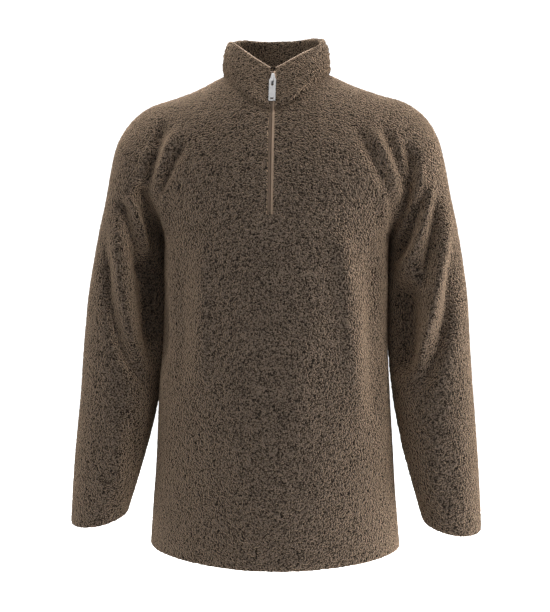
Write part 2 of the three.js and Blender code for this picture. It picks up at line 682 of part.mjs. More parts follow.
// Depths in the slider's frame: y is 0 on the collar's face and grows into the cloth.
const sliderBack = TAPE_DEPTH_COLLAR - SEAM_GAP;
const sliderFace = sliderBack - SLIDER_PLATE;
const channelBack = TAPE_DEPTH_COLLAR + TAPE_CLOTH + SEAM_GAP + CHAIN_DEPTH + SEAM_GAP;
const crownFace = sliderFace - BRIDGE.clear;

// An upright bar in the middle of the slider, between two depths and two heights below its top.
const bar = (width, y0, y1, top, bottom) => block([-width / 2, y0, -bottom], [width / 2, y1, -top]);
const crownFoot = crownFace - SINK;
const plateFoot = sliderFace + SINK;

addToSlider(
  "zip_slider",
  joined([
    plate(sliderOutline(), sliderFace, sliderBack),
    plate(sliderOutline(), channelBack, channelBack + SLIDER_BACK_PLATE),
    bar(DIVIDER.width, sliderBack - SINK, channelBack + SINK, DIVIDER.top, DIVIDER.bottom),
    bar(BRIDGE.width, crownFace - BRIDGE.crown, crownFace, BRIDGE.top, BRIDGE.bottom),
    bar(BRIDGE.width, crownFoot, plateFoot, BRIDGE.top, BRIDGE.top + BRIDGE.foot),
    bar(BRIDGE.width, crownFoot, plateFoot, BRIDGE.bottom - BRIDGE.foot, BRIDGE.bottom),
  ]),
);

function pullOutline() {
  const outline = new THREE.Shape();
  const high = PULL.bar / 2;
  const low = high - PULL.length;
  const turn = Math.PI / 2;
  const arcX = PULL.width / 2 - PULL.corner;
  outline.absarc(arcX, low + PULL.corner, PULL.corner, -turn, 0, false);
  outline.absarc(arcX, high - PULL.corner, PULL.corner, 0, turn, false);
  outline.absarc(-arcX, high - PULL.corner, PULL.corner, turn, 2 * turn, false);
  outline.absarc(-arcX, low + PULL.corner, PULL.corner, 2 * turn, 3 * turn, false);
  outline.closePath();
  const hole = (width, bottom, top) => {
    const path = new THREE.Path();
    path.moveTo(-width / 2, bottom);
    path.lineTo(-width / 2, top);
    path.lineTo(width / 2, top);
    path.lineTo(width / 2, bottom);
    path.closePath();
    outline.holes.push(path);
  };
  hole(PULL_WINDOW.width, -high - PULL_WINDOW.height, -high);
  hole(PULL_SLOT.width, low + PULL_SLOT.above, low + PULL_SLOT.above + PULL_SLOT.height);
  return outline;
}

const pullMesh = addToSlider("zip_pull", plate(pullOutline(), -PULL.plate / 2, PULL.plate / 2));
pullMesh.position.set(0, sliderFace - PULL_LIFT, -PULL_AXIS);

export default pullover;
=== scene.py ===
"""Half-zip sherpa fleece pullover in its worn shape, empty, on a plain pale stage.

The cloth is drawn from tables of sizes in millimetres: the body, the sleeves and the collar are smooth
surfaces with folds drawn along lines, then a curly pile. +Z is up and -Y is the front.
"""

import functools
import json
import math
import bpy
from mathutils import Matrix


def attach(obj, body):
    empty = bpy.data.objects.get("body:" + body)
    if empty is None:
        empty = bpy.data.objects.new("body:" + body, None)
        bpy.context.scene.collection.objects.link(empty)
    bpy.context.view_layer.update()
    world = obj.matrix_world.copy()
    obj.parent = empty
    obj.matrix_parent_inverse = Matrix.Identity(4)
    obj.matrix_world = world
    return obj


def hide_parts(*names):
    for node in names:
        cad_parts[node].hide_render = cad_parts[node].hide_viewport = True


bl_info = {
    "name": "Sherpa Half-Zip Pullover",
    "version": (1, 0, 0),
    "blender": (4, 5, 0),
    "location": "View3D > Sidebar > Pullover",
    "description": "Builds a half-zip sherpa fleece pullover in its worn shape",
    "category": "Add Mesh",
}

import bpy
import numpy as np
from bpy.props import FloatProperty, FloatVectorProperty, PointerProperty
from bpy.types import Operator, Panel, PropertyGroup
from mathutils import Matrix, Vector

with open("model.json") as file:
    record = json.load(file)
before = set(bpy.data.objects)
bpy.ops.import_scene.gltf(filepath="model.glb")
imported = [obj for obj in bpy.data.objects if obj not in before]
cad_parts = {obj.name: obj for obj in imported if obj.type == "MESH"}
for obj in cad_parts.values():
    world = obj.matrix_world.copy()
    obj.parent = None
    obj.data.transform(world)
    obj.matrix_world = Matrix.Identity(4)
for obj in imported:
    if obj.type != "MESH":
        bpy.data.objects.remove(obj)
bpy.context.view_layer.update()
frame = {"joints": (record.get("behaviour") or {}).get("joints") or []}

BODY = "pullover"
PULL_BODY = "pull"
PULL_JOINT = next(joint for joint in frame["joints"] if joint["child"] == PULL_BODY)
MM = 0.001


# ---------------------------------------------------------------- sizes, in millimetres, and shares
def table(columns, *rows):
    """Rows of numbers under named columns."""
    return dict(zip(columns.split(), np.array(rows, float).T))


SEAM_Y = -8.0  # plane of the side and shoulder seams
HEM_Z = -714.0
UNDERARM_Z = -250.0
HEM_SWING = -3.5  # the lower half hangs a little to the wearer's right of the neck
SWING_START = -150.0
SWING_END = -420.0
HEM_SIDE_RISE = 7.0
HEM_RISE_SPREAD = 0.8
NECK_HALF_WIDTH = 79.0
NECK_FRONT = 86.0
NECK_BACK = 63.0
NECK_ROUNDNESS = 2.1
SHOULDER_X = 203.0
ZIP_SLIT = 11.0
FRONT_ARCH = 2.2  # how squarely the chest and the back round over to the shoulder seam
BACK_ARCH = 3.0
YOKE_EVEN_ROWS = 0.35  # share of the yoke over which the columns spread to even steps
YOKE_LOW_ROWS = 0.6  # share of the yoke's rows that are spaced partly by height
YOKE_ROW_PULL = 0.5
NECK_RISE = 200.0  # height above the underarm at which the neckline is read
ARMHOLE_EASE_RINGS = 2.5  # rings over which the armhole's own shape fades out
INNER_BEHIND = 16.0  # the sleeve's inner side lies this far behind its middle
BEHIND_FROM_RING = 2  # in full from this ring
BEHIND_FADES = (9, 12)  # and less and less between these two
SLEEVE_GUIDES = (0.15, 0.5, 1.0)  # lines round the sleeve along which its rings are evened out

RIM_HALF_WIDTH = 73.0
RIM_REACH = 64.0
RIM_LEAN = 3.6  # the rim stands this much lower on the wearer's left of the zip, and higher on the right
RIM_LEAN_AT = 55  # degrees from the front middle
RIM_LEAN_SPREAD = 28
COLLAR_BULGE = 2.0
RIM_TURN = 3.0  # power that keeps the collar's sides and back upright until near the rim
COLLAR_ROLL = 5.0  # the collar's foot rolls out over the chest in front
ROLL_UP = 0.22  # shares of the collar's height
ROLL_SPREAD = 0.16
ROLL_FRONT = 0.75  # how squarely the cloth has to face the front to roll out
COLLAR_CREASE = 0.8  # depth of the crease just above the neckline's seam
FRONT_CREASE = 3.5  # and how much deeper it is beside the zip
CREASE_UP = 0.07
CREASE_FRONT = 0.8
COLLAR_PILE = 1.7  # the collar's pile stands this much higher than the body's
COLLAR_PILE_UP = 0.15  # share of its height by which it does so
COLLAR_THICK_UP = 0.35  # and by which the collar has its full thickness
COLLAR_FOOT = 1.4  # its thickness at the neckline, in walls

# Body sections from the hem to the underarm: reach ahead of and behind the side seams.
TORSO = table(
    "z half_width front back squareness",
    (HEM_Z, 187, 129, 121, 2.1),
    (-600, 178.5, 124, 113, 2.15),
    (-500, 173.5, 119, 106, 2.25),
    (-400, 168.5, 113, 102, 2.35),
    (-330, 167, 109, 103, 2.45),
    (UNDERARM_Z, 168, 107, 108, 2.5),
)

# Above the underarm the section widens towards the shoulders.
YOKE = table(
    "rise half_width",
    (0, 168),
    (20, 174),
    (40, 186),
    (70, 212),
    (100, 238),
    (140, 260),
    (200, 271),
    (260, 272),
)

SHOULDER_LINE = table(
    "x z",
    (0, 8),
    (40, 5),
    (80, -11.5),
    (114, -28),
    (150, -41),
    (185, -51.5),
    (205, -62),
)

# Armhole's distance from the middle, by share of the way from the underarm to the shoulder seam.
ARMHOLE = table(
    "share x",
    (0, 168),
    (0.08, 165),
    (0.25, 160),
    (0.5, 162),
    (0.75, 175),
    (0.9, 189),
    (1, SHOULDER_X),
)

# Sleeve rings from the armhole to the cuff: outer and inner point, middle and half depth, front drop.
SLEEVE = table(
    "ring outer_x outer_z inner_x inner_z y half_depth front_drop",
    (0, 203, -61, 168, -250, -8, 86, 0),
    (1, 219, -74, 169.3, -251.5, -8, 83, 0),
    (2, 233, -94, 169.6, -255, -8, 80, 0),
    (3, 243.5, -120, 169.4, -261, -8, 77, 0),
    (4, 251.5, -156, 168.9, -268, -8, 74.5, 0),
    (5, 258.5, -196, 168.6, -277, -9, 72, 0),
    (6, 268, -240, 168.1, -292, -10, 69, 0),
    (7, 276, -287, 167.8, -317, -11, 66, 0),
    (8, 283, -340, 168.2, -354, -13, 64, 0),
    (9, 287.5, -405, 169, -408, -17, 61, 1),
    (10, 292, -485, 174.5, -480, -23, 57, 2),
    (11, 297, -560, 187, -550, -30, 53, 4),
    (12, 299.5, -620, 201.5, -608, -36, 49, 6),
    (13, 301, -670, 217, -661, -40, 45, 8),
)

# Height of the collar's rim by angle from the front middle.
RIM = table(
    "angle z",
    (0, -18),
    (17, -5),
    (28, 4),
    (42, 16),
    (56, 26.5),
    (80, 38.5),
    (105, 48.5),
    (130, 56.5),
    (180, 58),
)

# Folds on the front, each along a bow from x0, z0 through x1, z1 to x2, z2: troughs are negative.
FRONT_FOLDS = table(
    "x0 z0 x1 z1 x2 z2 width depth",
    # the wearer's right shoulder
    (-120, -116, -145, -158, -173, -212, 7.5, -7),
    (-132, -96, -153, -140, -174, -206, 7.5, 6),
    (-154, -80, -171, -136, -186, -206, 9, -8),
    (-170, -116, -184, -147, -197, -178, 8, 4),
    # the wearer's right sleeve
    (-202, -172, -184, -220, -168, -296, 10, -19),
    (-215, -182, -192, -238, -163, -312, 8, 7),
    (-228, -188, -208, -248, -180, -330, 10, -13),
    (-186, -252, -179, -340, -168, -462, 17, -26),
    (-231, -212, -221, -328, -189, -474, 13, 8),
    (-244, -232, -233, -366, -178, -488, 10, -11),
    (-222, -505, -224, -576, -222, -660, 12, 4),
    (-200, -520, -202, -560, -200, -612, 10, -3.5),
    # the wearer's left shoulder
    (118, -96, 146, -158, 180, -228, 8, -5.5),
    (136, -98, 160, -148, 187, -206, 8, 6.5),
    (152, -92, 173, -146, 187, -206, 7.5, -6.5),
    (170, -112, 189, -154, 190, -204, 7, 3.5),
    (184, -118, 194, -172, 174, -242, 8.5, -13),
    # the wearer's left sleeve
    (204, -146, 203, -211, 164, -278, 9, 7),
    (218, -178, 197, -236, 168, -306, 9.5, -13),
    (228, -166, 213, -250, 174, -322, 10.5, 7),
    (240, -172, 226, -257, 210, -340, 10, -12),
    (184, -306, 192, -388, 184, -470, 20, -22),
    (246, -186, 233, -350, 192, -468, 12, 12),
    (256, -236, 247, -380, 194, -492, 14, -13),
    (249, -540, 250, -590, 249, -640, 12, -2),
    # the cloth drawn over the front of each armhole
    (-168, -176, -158, -212, -163, -256, 8, 4),
    (170, -180, 158, -212, 163, -252, 8, 4),
    # the body's soft corners, each with the flatter flank beside it
    (95, -240, 111, -347, 128, -540, 15, 7),
    (142, -256, 147, -380, 152, -560, 15, -8),
    (-98, -246, -94, -360, -97, -487, 12, 4.5),
    (-126, -256, -126, -380, -128, -490, 15, -5.5),
    (42, -386, 43, -466, 45, -564, 20, 2),
)
BACK_FOLDS = table(
    "x0 z0 x1 z1 x2 z2 width depth",
    (-124, -118, -146, -160, -168, -206, 9, -7),
    (-142, -104, -160, -146, -180, -190, 8, 5),
    (-206, -184, -188, -240, -168, -296, 9, -10),
    (-226, -190, -200, -268, -168, -328, 9, 6),
    (-240, -212, -222, -308, -186, -392, 10, -8),
    (-252, -264, -236, -384, -192, -496, 11, 6),
    (-178, -316, -174, -392, -176, -476, 15, -11),
    (116, -114, 140, -162, 166, -210, 9, -7),
    (136, -106, 160, -152, 180, -196, 8, 5),
    (202, -166, 192, -232, 168, -290, 9, -10),
    (222, -184, 206, -254, 170, -324, 9, 6),
    (242, -216, 222, -322, 186, -414, 10, -8),
    (254, -270, 240, -392, 200, -500, 11, 6),
    (180, -318, 178, -394, 180, -472, 15, -11),
    (-54, -330, -60, -424, -72, -550, 22, -3),
    (-88, -304, -96, -406, -108, -530, 18, 4),
    (64, -322, 74, -436, 86, -560, 22, -3),
    (102, -296, 108, -398, 120, -516, 18, 4),
    (0, -84, 4, -120, -2, -170, 26, -3),
)
FOLD_TURN = 0.6  # a fold is whole where the cloth faces this squarely to the front or back
FOLD_REACH = 2.6  # widths from its line to where it ends
FOLD_TAPER = 0.28  # share of its length over which each end fades
FOLD_STEPS = 14

# Slow unevenness of hanging cloth, drawn out downwards by DRAPE_STRETCH.
DRAPE = table(
    "depth size seed",
    (1.1, 70, 31),
    (0.5, 32, 32),
)
DRAPE_STRETCH = 0.45

# The tufts of the pile. Sizes are shares of a tuft's width.
TUFT_REACH = 0.75
TUFT_MEAN = 0.45
PILE_WARP = 0.4
PILE_WARP_SIZE = 2.2
PILE_CLUMPS = 0.05
PILE_CLUMP_SIZE = 3.4
TUFT_SEED = 3
WARP_SEED = 11
CLUMP_SEED = 21

# Beside the zip the pile lies flatter: the share of it that stands there, and how far off all of it does.
ZIP_CALM = 0.45
CALM_REACH = 9.0
COLLAR_CALM_REACH = 7.0

# The collar's zip edges bulge towards the middle by this share of half their thickness, and by
# SLIDER_ROOM less between the slider's foot and top.
ZIP_BULGE = 0.92
SLIDER_ROOM = 0.84
SLIDER_FOOT_Z = -42.0
SLIDER_TOP_Z = -23.0
ROOM_BELOW = 6
ROOM_ABOVE = 4

# The light edge along each front half of the rim. Near the zip it ends EDGE_TIP from the middle and
# EDGE_DIP below the rim, and at the side it ends EDGE_SHORT columns early.
EDGE_TIP = 1.2
EDGE_DIP = 1.5
EDGE_SHORT = 6
EDGE_TURN = 48  # degrees over the rim from its outer face
EDGE_EVEN = 7  # points over which the edge's line is evened out
EDGE_FADE = 0.75  # share of its thickness that it loses by its end at the side
EDGE_FADE_FROM = 0.7
EDGE_SHADE = 0.9

# The collar's curls have more contrast and are a little darker in colour and sheen: partly the collar
# fleece's own tone, partly painted shade for the shadow on the collar's sides.
COLLAR_CONTRAST = 1.8
COLLAR_TONE_AND_PAINTED_SHADE = 0.88

# Counts of the fine grids. INNER_STEP cells of the outer face share one cell of the inner face.
INNER_STEP = 4
COLLAR_INNER_STEP = 2
ROLL_STEPS = 3
EDGE_CELLS = 4  # cells over which the way that an edge faces is read
FINE_READINGS = 4001  # readings along a line that is then cut into even steps
RING_READINGS = 1200
WELD_STEPS = 50  # places closer than a fiftieth of a millimetre are one
NECK_COLUMNS = 48
SHOULDER_COLUMNS = 72
SLIT_COLUMNS = 4
TORSO_ROWS = 208
YOKE_ROWS = 104
SLIT_FOOT_ROW = 228
SLEEVE_RINGS = 272
COLLAR_ROWS = 40


# ---------------------------------------------------------------- curves
def mix(a, b, t):
    return a + (b - a) * t


def smooth(low, high, value):
    """From 0 at low to 1 at high, level at both ends."""
    t = np.clip((value - low) / (high - low), 0, 1)
    return t * t * (3 - 2 * t)


def read(sizes, by, at, column):
    """A column of a table, read between its rows by a cubic curve."""
    places, values = sizes[by], sizes[column]
    last = len(places) - 1
    ks = np.arange(last + 1)
    before, after = np.maximum(ks - 1, 0), np.minimum(ks + 1, last)
    slopes = (values[after] - values[before]) / (places[after] - places[before])
    at = np.asarray(at, float)
    i = np.searchsorted(places[1:-1], at)
    run = places[i + 1] - places[i]
    t = np.clip((at - places[i]) / run, 0, 1)
    rise = values[i + 1] - values[i]
    bend = slopes[i] * run * t * (1 - t) ** 2 - slopes[i + 1] * run * t * t * (1 - t)
    return values[i] + rise * t * t * (3 - 2 * t) + bend


def unit(vectors):
    length = np.linalg.norm(vectors, axis=-1, keepdims=True)
    return vectors / np.maximum(length, 1e-12)


def lengths_along(points):
    """Distance from the first point to each point of a line."""
    steps = np.linalg.norm(np.diff(points, axis=0), axis=-1)
    return np.concatenate([[0], np.cumsum(steps)])


def superellipse(out, power):
    """From 1 in the middle to 0 at the side, squarer for a higher power."""
    return np.maximum(1 - np.clip(out, 0, 1) ** power, 0) ** (1 / power)


# ---------------------------------------------------------------- body
def shoulder_z(x):
    return read(SHOULDER_LINE, "x", np.clip(np.abs(x), 0, SHOULDER_LINE["x"][-1]), "z")


def yoke_reach(x, rise, depth, squareness):
    """How far a section above the underarm stands out of the seams' plane."""
    return depth * superellipse(np.abs(x) / read(YOKE, "rise", rise, "half_width"), squareness)


def neck_share(x, front):
    """Share of the way up to the shoulder line at which the neckline cuts the column that ends at x."""
    side = "front" if front else "back"
    arch = FRONT_ARCH if front else BACK_ARCH
    neck = (NECK_FRONT if front else NECK_BACK) * superellipse(np.abs(x) / NECK_HALF_WIDTH, NECK_ROUNDNESS)
    reach = yoke_reach(x, NECK_RISE, TORSO[side][-1], TORSO["squareness"][-1])
    return (1 - (neck / reach) ** arch) ** (1 / arch)


def body_points(front, side, start, across, up):
    """Points of the front or back: across runs 0 to 1 from the middle to the side, up 0 to 1 from the
    hem to the underarm and 1 to 2 on to the shoulder seam or the neckline."""
    facing = -1 if front else 1
    depth_name = "front" if front else "back"
    arch = FRONT_ARCH if front else BACK_ARCH
    across, up = np.broadcast_arrays(across, up)
    even = np.sin(across * math.pi / 2)

    z = mix(HEM_Z + HEM_SIDE_RISE * smooth(0, HEM_RISE_SPREAD, across), UNDERARM_Z, np.clip(up, 0, 1))
    half_width = read(TORSO, "z", z, "half_width")
    x = mix(start, side * half_width, even)
    squareness = read(TORSO, "z", z, "squareness")
    reach = read(TORSO, "z", z, depth_name) * superellipse(np.abs(x) / half_width, squareness)
    low = np.stack([x, SEAM_Y + facing * reach, z], -1)

    row = np.clip(up - 1, 0, 1)
    share = mix(across, even, 1 - smooth(0, YOKE_EVEN_ROWS, row))
    x = mix(start, side * read(ARMHOLE, "share", row, "x"), share)
    height = row * neck_share(mix(start, side * SHOULDER_X, across), front)
    z = mix(UNDERARM_Z, shoulder_z(x), height)
    reach = yoke_reach(x, z - UNDERARM_Z, TORSO[depth_name][-1], TORSO["squareness"][-1])
    y = SEAM_Y + facing * reach * np.maximum(1 - height**arch, 0) ** (1 / arch)
    return np.where((up <= 1)[..., None], low, np.stack([x, y, z], -1))


def half_columns(side, start):
    """Shares of the way across one half of the body at which its columns stand."""
    neck = (side * NECK_HALF_WIDTH - start) / (side * SHOULDER_X - start)
    inside = np.linspace(0, neck, NECK_COLUMNS, endpoint=False)
    return np.concatenate([inside, np.linspace(neck, 1, SHOULDER_COLUMNS + 1)])


@functools.lru_cache
def yoke_heights(front):
    """Heights of the yoke's rows, spaced evenly along the armhole but for the lowest."""
    fine = np.linspace(0, 1, FINE_READINGS) ** 2
    line = np.sin(fine * math.pi / 2) ** (2 / (FRONT_ARCH if front else BACK_ARCH))
    along = lengths_along(body_points(front, 1, 0, 1.0, 1 + np.maximum(line, 1e-9)))
    even = np.interp(np.linspace(0, along[-1], YOKE_ROWS + 1), along, line)
    share = np.linspace(0, 1, YOKE_ROWS + 1)
    return 1 + mix(even, share, YOKE_ROW_PULL * (1 - smooth(0, YOKE_LOW_ROWS, share)))


def body_half(front, side, start):
    up = np.concatenate([np.linspace(0, 1, TORSO_ROWS, endpoint=False), yoke_heights(front)])
    return body_points(front, side, start, half_columns(side, start)[:, None], up[None, :])


# ---------------------------------------------------------------- sleeves
def ring_points(side, around, ring):
    """Points of a sleeve's rings: around runs from 0 at the inner side to 1 at the outer side over the
    front and to -1 over the back."""

    def size(column):
        return read(SLEEVE, "ring", ring, column)

    angle = around * math.pi
    out = (1 - np.cos(angle)) / 2
    x = side * mix(size("inner_x"), size("outer_x"), out)
    behind = INNER_BEHIND * smooth(0, BEHIND_FROM_RING, ring) * (1 - smooth(*BEHIND_FADES, ring))
    y = size("y") - size("half_depth") * np.sin(angle) + behind * (1 - out)
    z = mix(size("inner_z"), size("outer_z"), out) - size("front_drop") * np.sin(angle)
    return np.stack(np.broadcast_arrays(x, y, z), -1)


def sleeve_rings(side):
    """Ring numbers spaced evenly along the sleeve."""
    fine = np.linspace(0, SLEEVE["ring"][-1], RING_READINGS)
    along = sum(lengths_along(ring_points(side, around, fine)) for around in SLEEVE_GUIDES)
    return np.interp(np.linspace(0, along[-1], SLEEVE_RINGS + 1), along, fine)


def sleeve_grid(side, up, down):
    """A sleeve from the armhole's points: up the front from the underarm, and down the back."""
    front, back = lengths_along(up), lengths_along(down)
    start = np.concatenate([up, down[1:-1][::-1]])
    around = np.concatenate([front / front[-1], -(back / back[-1])[1:-1][::-1]])[:, None]
    ring = sleeve_rings(side)[None, :]
    own = start[:, None] - ring_points(side, around, np.zeros((1, 1)))
    ease = 1 - smooth(0, ARMHOLE_EASE_RINGS, ring)
    return ring_points(side, around, ring) + own * ease[..., None]


# ---------------------------------------------------------------- collar
def rim_points(base):
    """Points of the collar's rim, each above one of the neckline's."""
    out = np.abs(base[:, 0])
    ahead = SEAM_Y - base[:, 1]
    angle = np.arctan2(out / NECK_HALF_WIDTH, ahead / np.where(ahead > 0, NECK_FRONT, NECK_BACK))
    x = np.maximum(RIM_HALF_WIDTH * np.sin(angle), np.minimum(out, ZIP_SLIT / 2))
    turn = np.degrees(angle)
    lean = RIM_LEAN * np.exp(-(((turn - RIM_LEAN_AT) / RIM_LEAN_SPREAD) ** 2))
    z = read(RIM, "angle", turn, "z") - np.sign(base[:, 0]) * lean
    return np.stack([np.sign(base[:, 0]) * x, SEAM_Y - RIM_REACH * np.cos(angle), z], -1)


def collar_grid(base, rows):
    """The collar's face from the neckline's points up to the rim; rows are shares of its height."""
    rim = rim_points(base)
    outward = unit(np.stack([base[:, 0], base[:, 1] - SEAM_Y, 0 * base[:, 0]], -1))
    ahead = -outward[:, 1:2]
    up = rows[None, :]
    beside = smooth(ZIP_SLIT / 2, ZIP_SLIT * 3, np.abs(base[:, 0]))[:, None]
    bulge = 4 * COLLAR_BULGE * beside * up * (1 - up)
    turned = up ** mix(1, RIM_TURN, np.clip(1 - ahead, 0, 1))
    level = mix(base[:, None], rim[:, None], turned[..., None])
    level[..., 2] = mix(base[:, None, 2], rim[:, None, 2], up)
    roll = COLLAR_ROLL * np.exp(-(((up - ROLL_UP) / ROLL_SPREAD) ** 2)) * smooth(ROLL_FRONT, 1, ahead)
    crease = smooth(0, CREASE_UP, up) * (1 - smooth(CREASE_UP, CREASE_UP * 3, up))
    crease = -(COLLAR_CREASE + FRONT_CREASE * smooth(CREASE_FRONT, 1, ahead)) * crease
    return level + outward[:, None] * (bulge + (roll * beside + crease))[..., None]


# ---------------------------------------------------------------- noise
# Usual primes and shifts of a whole-number hash: one for each axis, for the seed and for each round.
HASH_AXES = (73856093, 19349663, 83492791)
HASH_SEED = 2654435761
HASH_ROUNDS = ((15, 2246822519), (13, 3266489917), (16, 1))


def lattice(cell, seed):
    """A number from 0 to 1 for each whole-number cell of space."""
    with np.errstate(over="ignore"):
        h = np.uint32(seed * HASH_SEED % 2**32)
        for axis, prime in enumerate(HASH_AXES):
            h = h ^ cell[..., axis].astype(np.int64).astype(np.uint32) * np.uint32(prime)
        for shift, prime in HASH_ROUNDS:
            h = (h ^ (h >> np.uint32(shift))) * np.uint32(prime)
    return h.astype(float) / 2**32


def wander(points, size, seed):
    """Smooth noise from -1 to 1 with features of about the given size."""
    place = points / size
    cell = np.floor(place)
    t = place - cell
    t = t * t * (3 - 2 * t)
    total = np.zeros(points.shape[:-1])
    for corner in np.ndindex(2, 2, 2):
        weight = np.prod(np.where(corner, t, 1 - t), axis=-1)
        total += weight * lattice(cell + corner, seed)
    return 2 * total - 1


def curls(points, size, seed):
    """Round tufts from 0 between them to 1 on top, each about the given size across."""
    place = points / size
    cell = np.floor(place)
    nearest = np.full(points.shape[:-1], np.inf)
    for step in np.ndindex(3, 3, 3):
        there = cell + step - 1
        centre = there + np.stack([lattice(there, seed + k) for k in range(3)], -1)
        nearest = np.minimum(nearest, ((place - centre) ** 2).sum(-1))
    return np.clip(1 - nearest / TUFT_REACH, 0, 1)


# ---------------------------------------------------------------- the sewn pieces
def bow(x0, z0, x1, z1, x2, z2):
    """Points of a bow through three places."""
    t = np.linspace(0, 1, FOLD_STEPS + 1)[:, None]
    ends = np.array([(x0, z0), (x2, z2)])
    pull = 2 * np.array([x1, z1]) - ends.mean(0)
    return (1 - t) ** 2 * ends[0] + 2 * t * (1 - t) * pull + t * t * ends[1]


def fold_height(points, normals):
    """How far the folds lift the cloth."""
    height = np.zeros(points.shape[:-1])
    for folds, facing in ((FRONT_FOLDS, -normals[..., 1]), (BACK_FOLDS, normals[..., 1])):
        for *places, width, depth in zip(*folds.values()):
            line = bow(*places)
            low, high = line.min(0) - FOLD_REACH * width, line.max(0) + FOLD_REACH * width
            flat = points[..., [0, 2]]
            near = (facing > 0) & (flat > low).all(-1) & (flat < high).all(-1)
            if not near.any():
                continue
            starts, runs = line[:-1], np.diff(line, axis=0)
            off = flat[near][:, None] - starts
            t = np.clip((off * runs).sum(-1) / (runs**2).sum(-1), 0, 1)
            gap = np.linalg.norm(off - t[..., None] * runs, axis=-1)
            nearest = gap.argmin(-1)
            rows = np.arange(len(nearest))
            along = (nearest + t[rows, nearest]) / FOLD_STEPS
            taper = smooth(0, FOLD_TAPER, along) * smooth(0, FOLD_TAPER, 1 - along)
            seen = smooth(0, FOLD_TURN, facing[near])
            height[near] += depth * seen * taper * np.exp(-((gap[rows, nearest] / width) ** 2))
    return height


def face_normals(grid, wrap):
    """Normals at the points of one grid, from its cells."""
    around = np.concatenate([grid, grid[:1]]) if wrap else grid
    a, b, c, d = around[:-1, :-1], around[1:, :-1], around[1:, 1:], around[:-1, 1:]
    cells = unit(np.cross(c - a, d - b))
    total = np.zeros(around.shape)
    for part in (np.s_[:-1, :-1], np.s_[1:, :-1], np.s_[1:, 1:], np.s_[:-1, 1:]):
        total[part] += cells
    if wrap:
        total[0] += total[-1]
        total = total[:-1]
    return unit(total)


def shared_normals(panels):
    """Normals that agree wherever two pieces meet."""
    normals = {name: face_normals(p["grid"], p["wrap"]) for name, p in panels.items()}
    points = np.concatenate([p["grid"].reshape(-1, 3) for p in panels.values()])
    flat = np.concatenate([n.reshape(-1, 3) for n in normals.values()])
    places = np.round(points * WELD_STEPS).astype(np.int64)
    _, which = np.unique(places, axis=0, return_inverse=True)
    which = which.reshape(-1)
    total = np.stack([np.bincount(which, flat[:, k]) for k in range(3)], -1)
    merged = unit(total)[which]
    start = 0
    for name, p in panels.items():
        count = p["grid"].shape[0] * p["grid"].shape[1]
        normals[name] = merged[start : start + count].reshape(p["grid"].shape)
        start += count
    return normals


@functools.lru_cache
def panels():
    """The five sewn pieces as smooth folded grids, each with its normals. An outer face has its
    columns run to the right, seen from outside."""
    slit = ZIP_SLIT / 2
    half = {(f, s): body_half(f, s, s * slit if f else 0) for f in (True, False) for s in (-1, 1)}
    gap = np.linspace(-1, 1, SLIT_COLUMNS + 1)[1:-1, None, None]
    right, left = half[True, -1][0], half[True, 1][0]
    middle = (right + left) / 2 + gap * (left - right) / 2
    front = np.concatenate([half[True, -1][::-1], middle, half[True, 1]])
    back = np.concatenate([half[False, 1][::-1], half[False, -1][1:]])
    base = np.concatenate(
        [
            half[True, 1][: NECK_COLUMNS + 1, -1],
            half[False, 1][:NECK_COLUMNS, -1][::-1],
            half[False, -1][1:NECK_COLUMNS, -1],
            half[True, -1][: NECK_COLUMNS + 1, -1][::-1],
        ]
    )
    rows = np.linspace(0, 1, COLLAR_ROWS + 1)
    made = {
        "front_panel": {"grid": front, "wrap": False},
        "back_panel": {"grid": back, "wrap": False},
        "collar": {"grid": collar_grid(base, rows), "wrap": False},
    }
    for name, side in (("sleeve_right", -1), ("sleeve_left", 1)):
        up, down = (half[f, side][-1, TORSO_ROWS:] for f in (True, False))
        grid = sleeve_grid(side, up, down)
        made[name] = {"grid": grid if side < 0 else grid[::-1], "wrap": True}
    normals = shared_normals(made)
    for name, panel in made.items():
        grid = panel["grid"] + normals[name] * fold_height(panel["grid"], normals[name])[..., None]
        grid[..., 0] += HEM_SWING * (1 - smooth(SWING_END, SWING_START, grid[..., 2]))
        panel["grid"] = grid
    normals = shared_normals(made)
    for name, panel in made.items():
        panel["normals"] = normals[name]
    return made


def pile_height(points, size, depth):
    """How far the curly pile stands out of the smooth face, about zero on average."""
    warp = np.stack([wander(points, size * PILE_WARP_SIZE, WARP_SEED + k) for k in range(3)], -1)
    tufts = curls(points + warp * size * PILE_WARP, size, TUFT_SEED)
    clumps = wander(points, size * PILE_CLUMP_SIZE, CLUMP_SEED)
    return depth * (tufts - TUFT_MEAN + PILE_CLUMPS * clumps)


def drape(points):
    """Slow unevenness of hanging cloth."""
    stretched = points * (1, 1, DRAPE_STRETCH)
    return sum(depth * wander(stretched, size, int(seed)) for depth, size, seed in zip(*DRAPE.values()))


# ---------------------------------------------------------------- meshes
def add_object(name, mesh, material, body=BODY):
    obj = bpy.data.objects.new(name, mesh)
    bpy.context.scene.collection.objects.link(obj)
    obj.data.materials.append(material)
    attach(obj, body)
    return obj


def mesh_of(name, points, faces, flat_from=None):
    """A mesh in metres from points in millimetres, smooth but for the faces from flat_from on."""
    used, index = np.unique(np.concatenate([np.asarray(face) for face in faces]), return_inverse=True)
    index = index.reshape(-1)
    sizes = np.array([len(face) for face in faces])
    mesh = bpy.data.meshes.new(name)
    mesh.vertices.add(len(used))
    mesh.vertices.foreach_set("co", (points[used] * MM).astype(np.float32).ravel())
    mesh.loops.add(len(index))
    mesh.loops.foreach_set("vertex_index", index.astype(np.int32))
    mesh.polygons.add(len(sizes))
    starts = np.concatenate([[0], np.cumsum(sizes)[:-1]])
    mesh.polygons.foreach_set("loop_start", starts.astype(np.int32))
    smoothed = np.ones(len(sizes), bool)
    if flat_from is not None:
        smoothed[flat_from:] = False
    mesh.update(calc_edges=True)
    mesh.polygons.foreach_set("use_smooth", smoothed)
    mesh.validate()
    return mesh


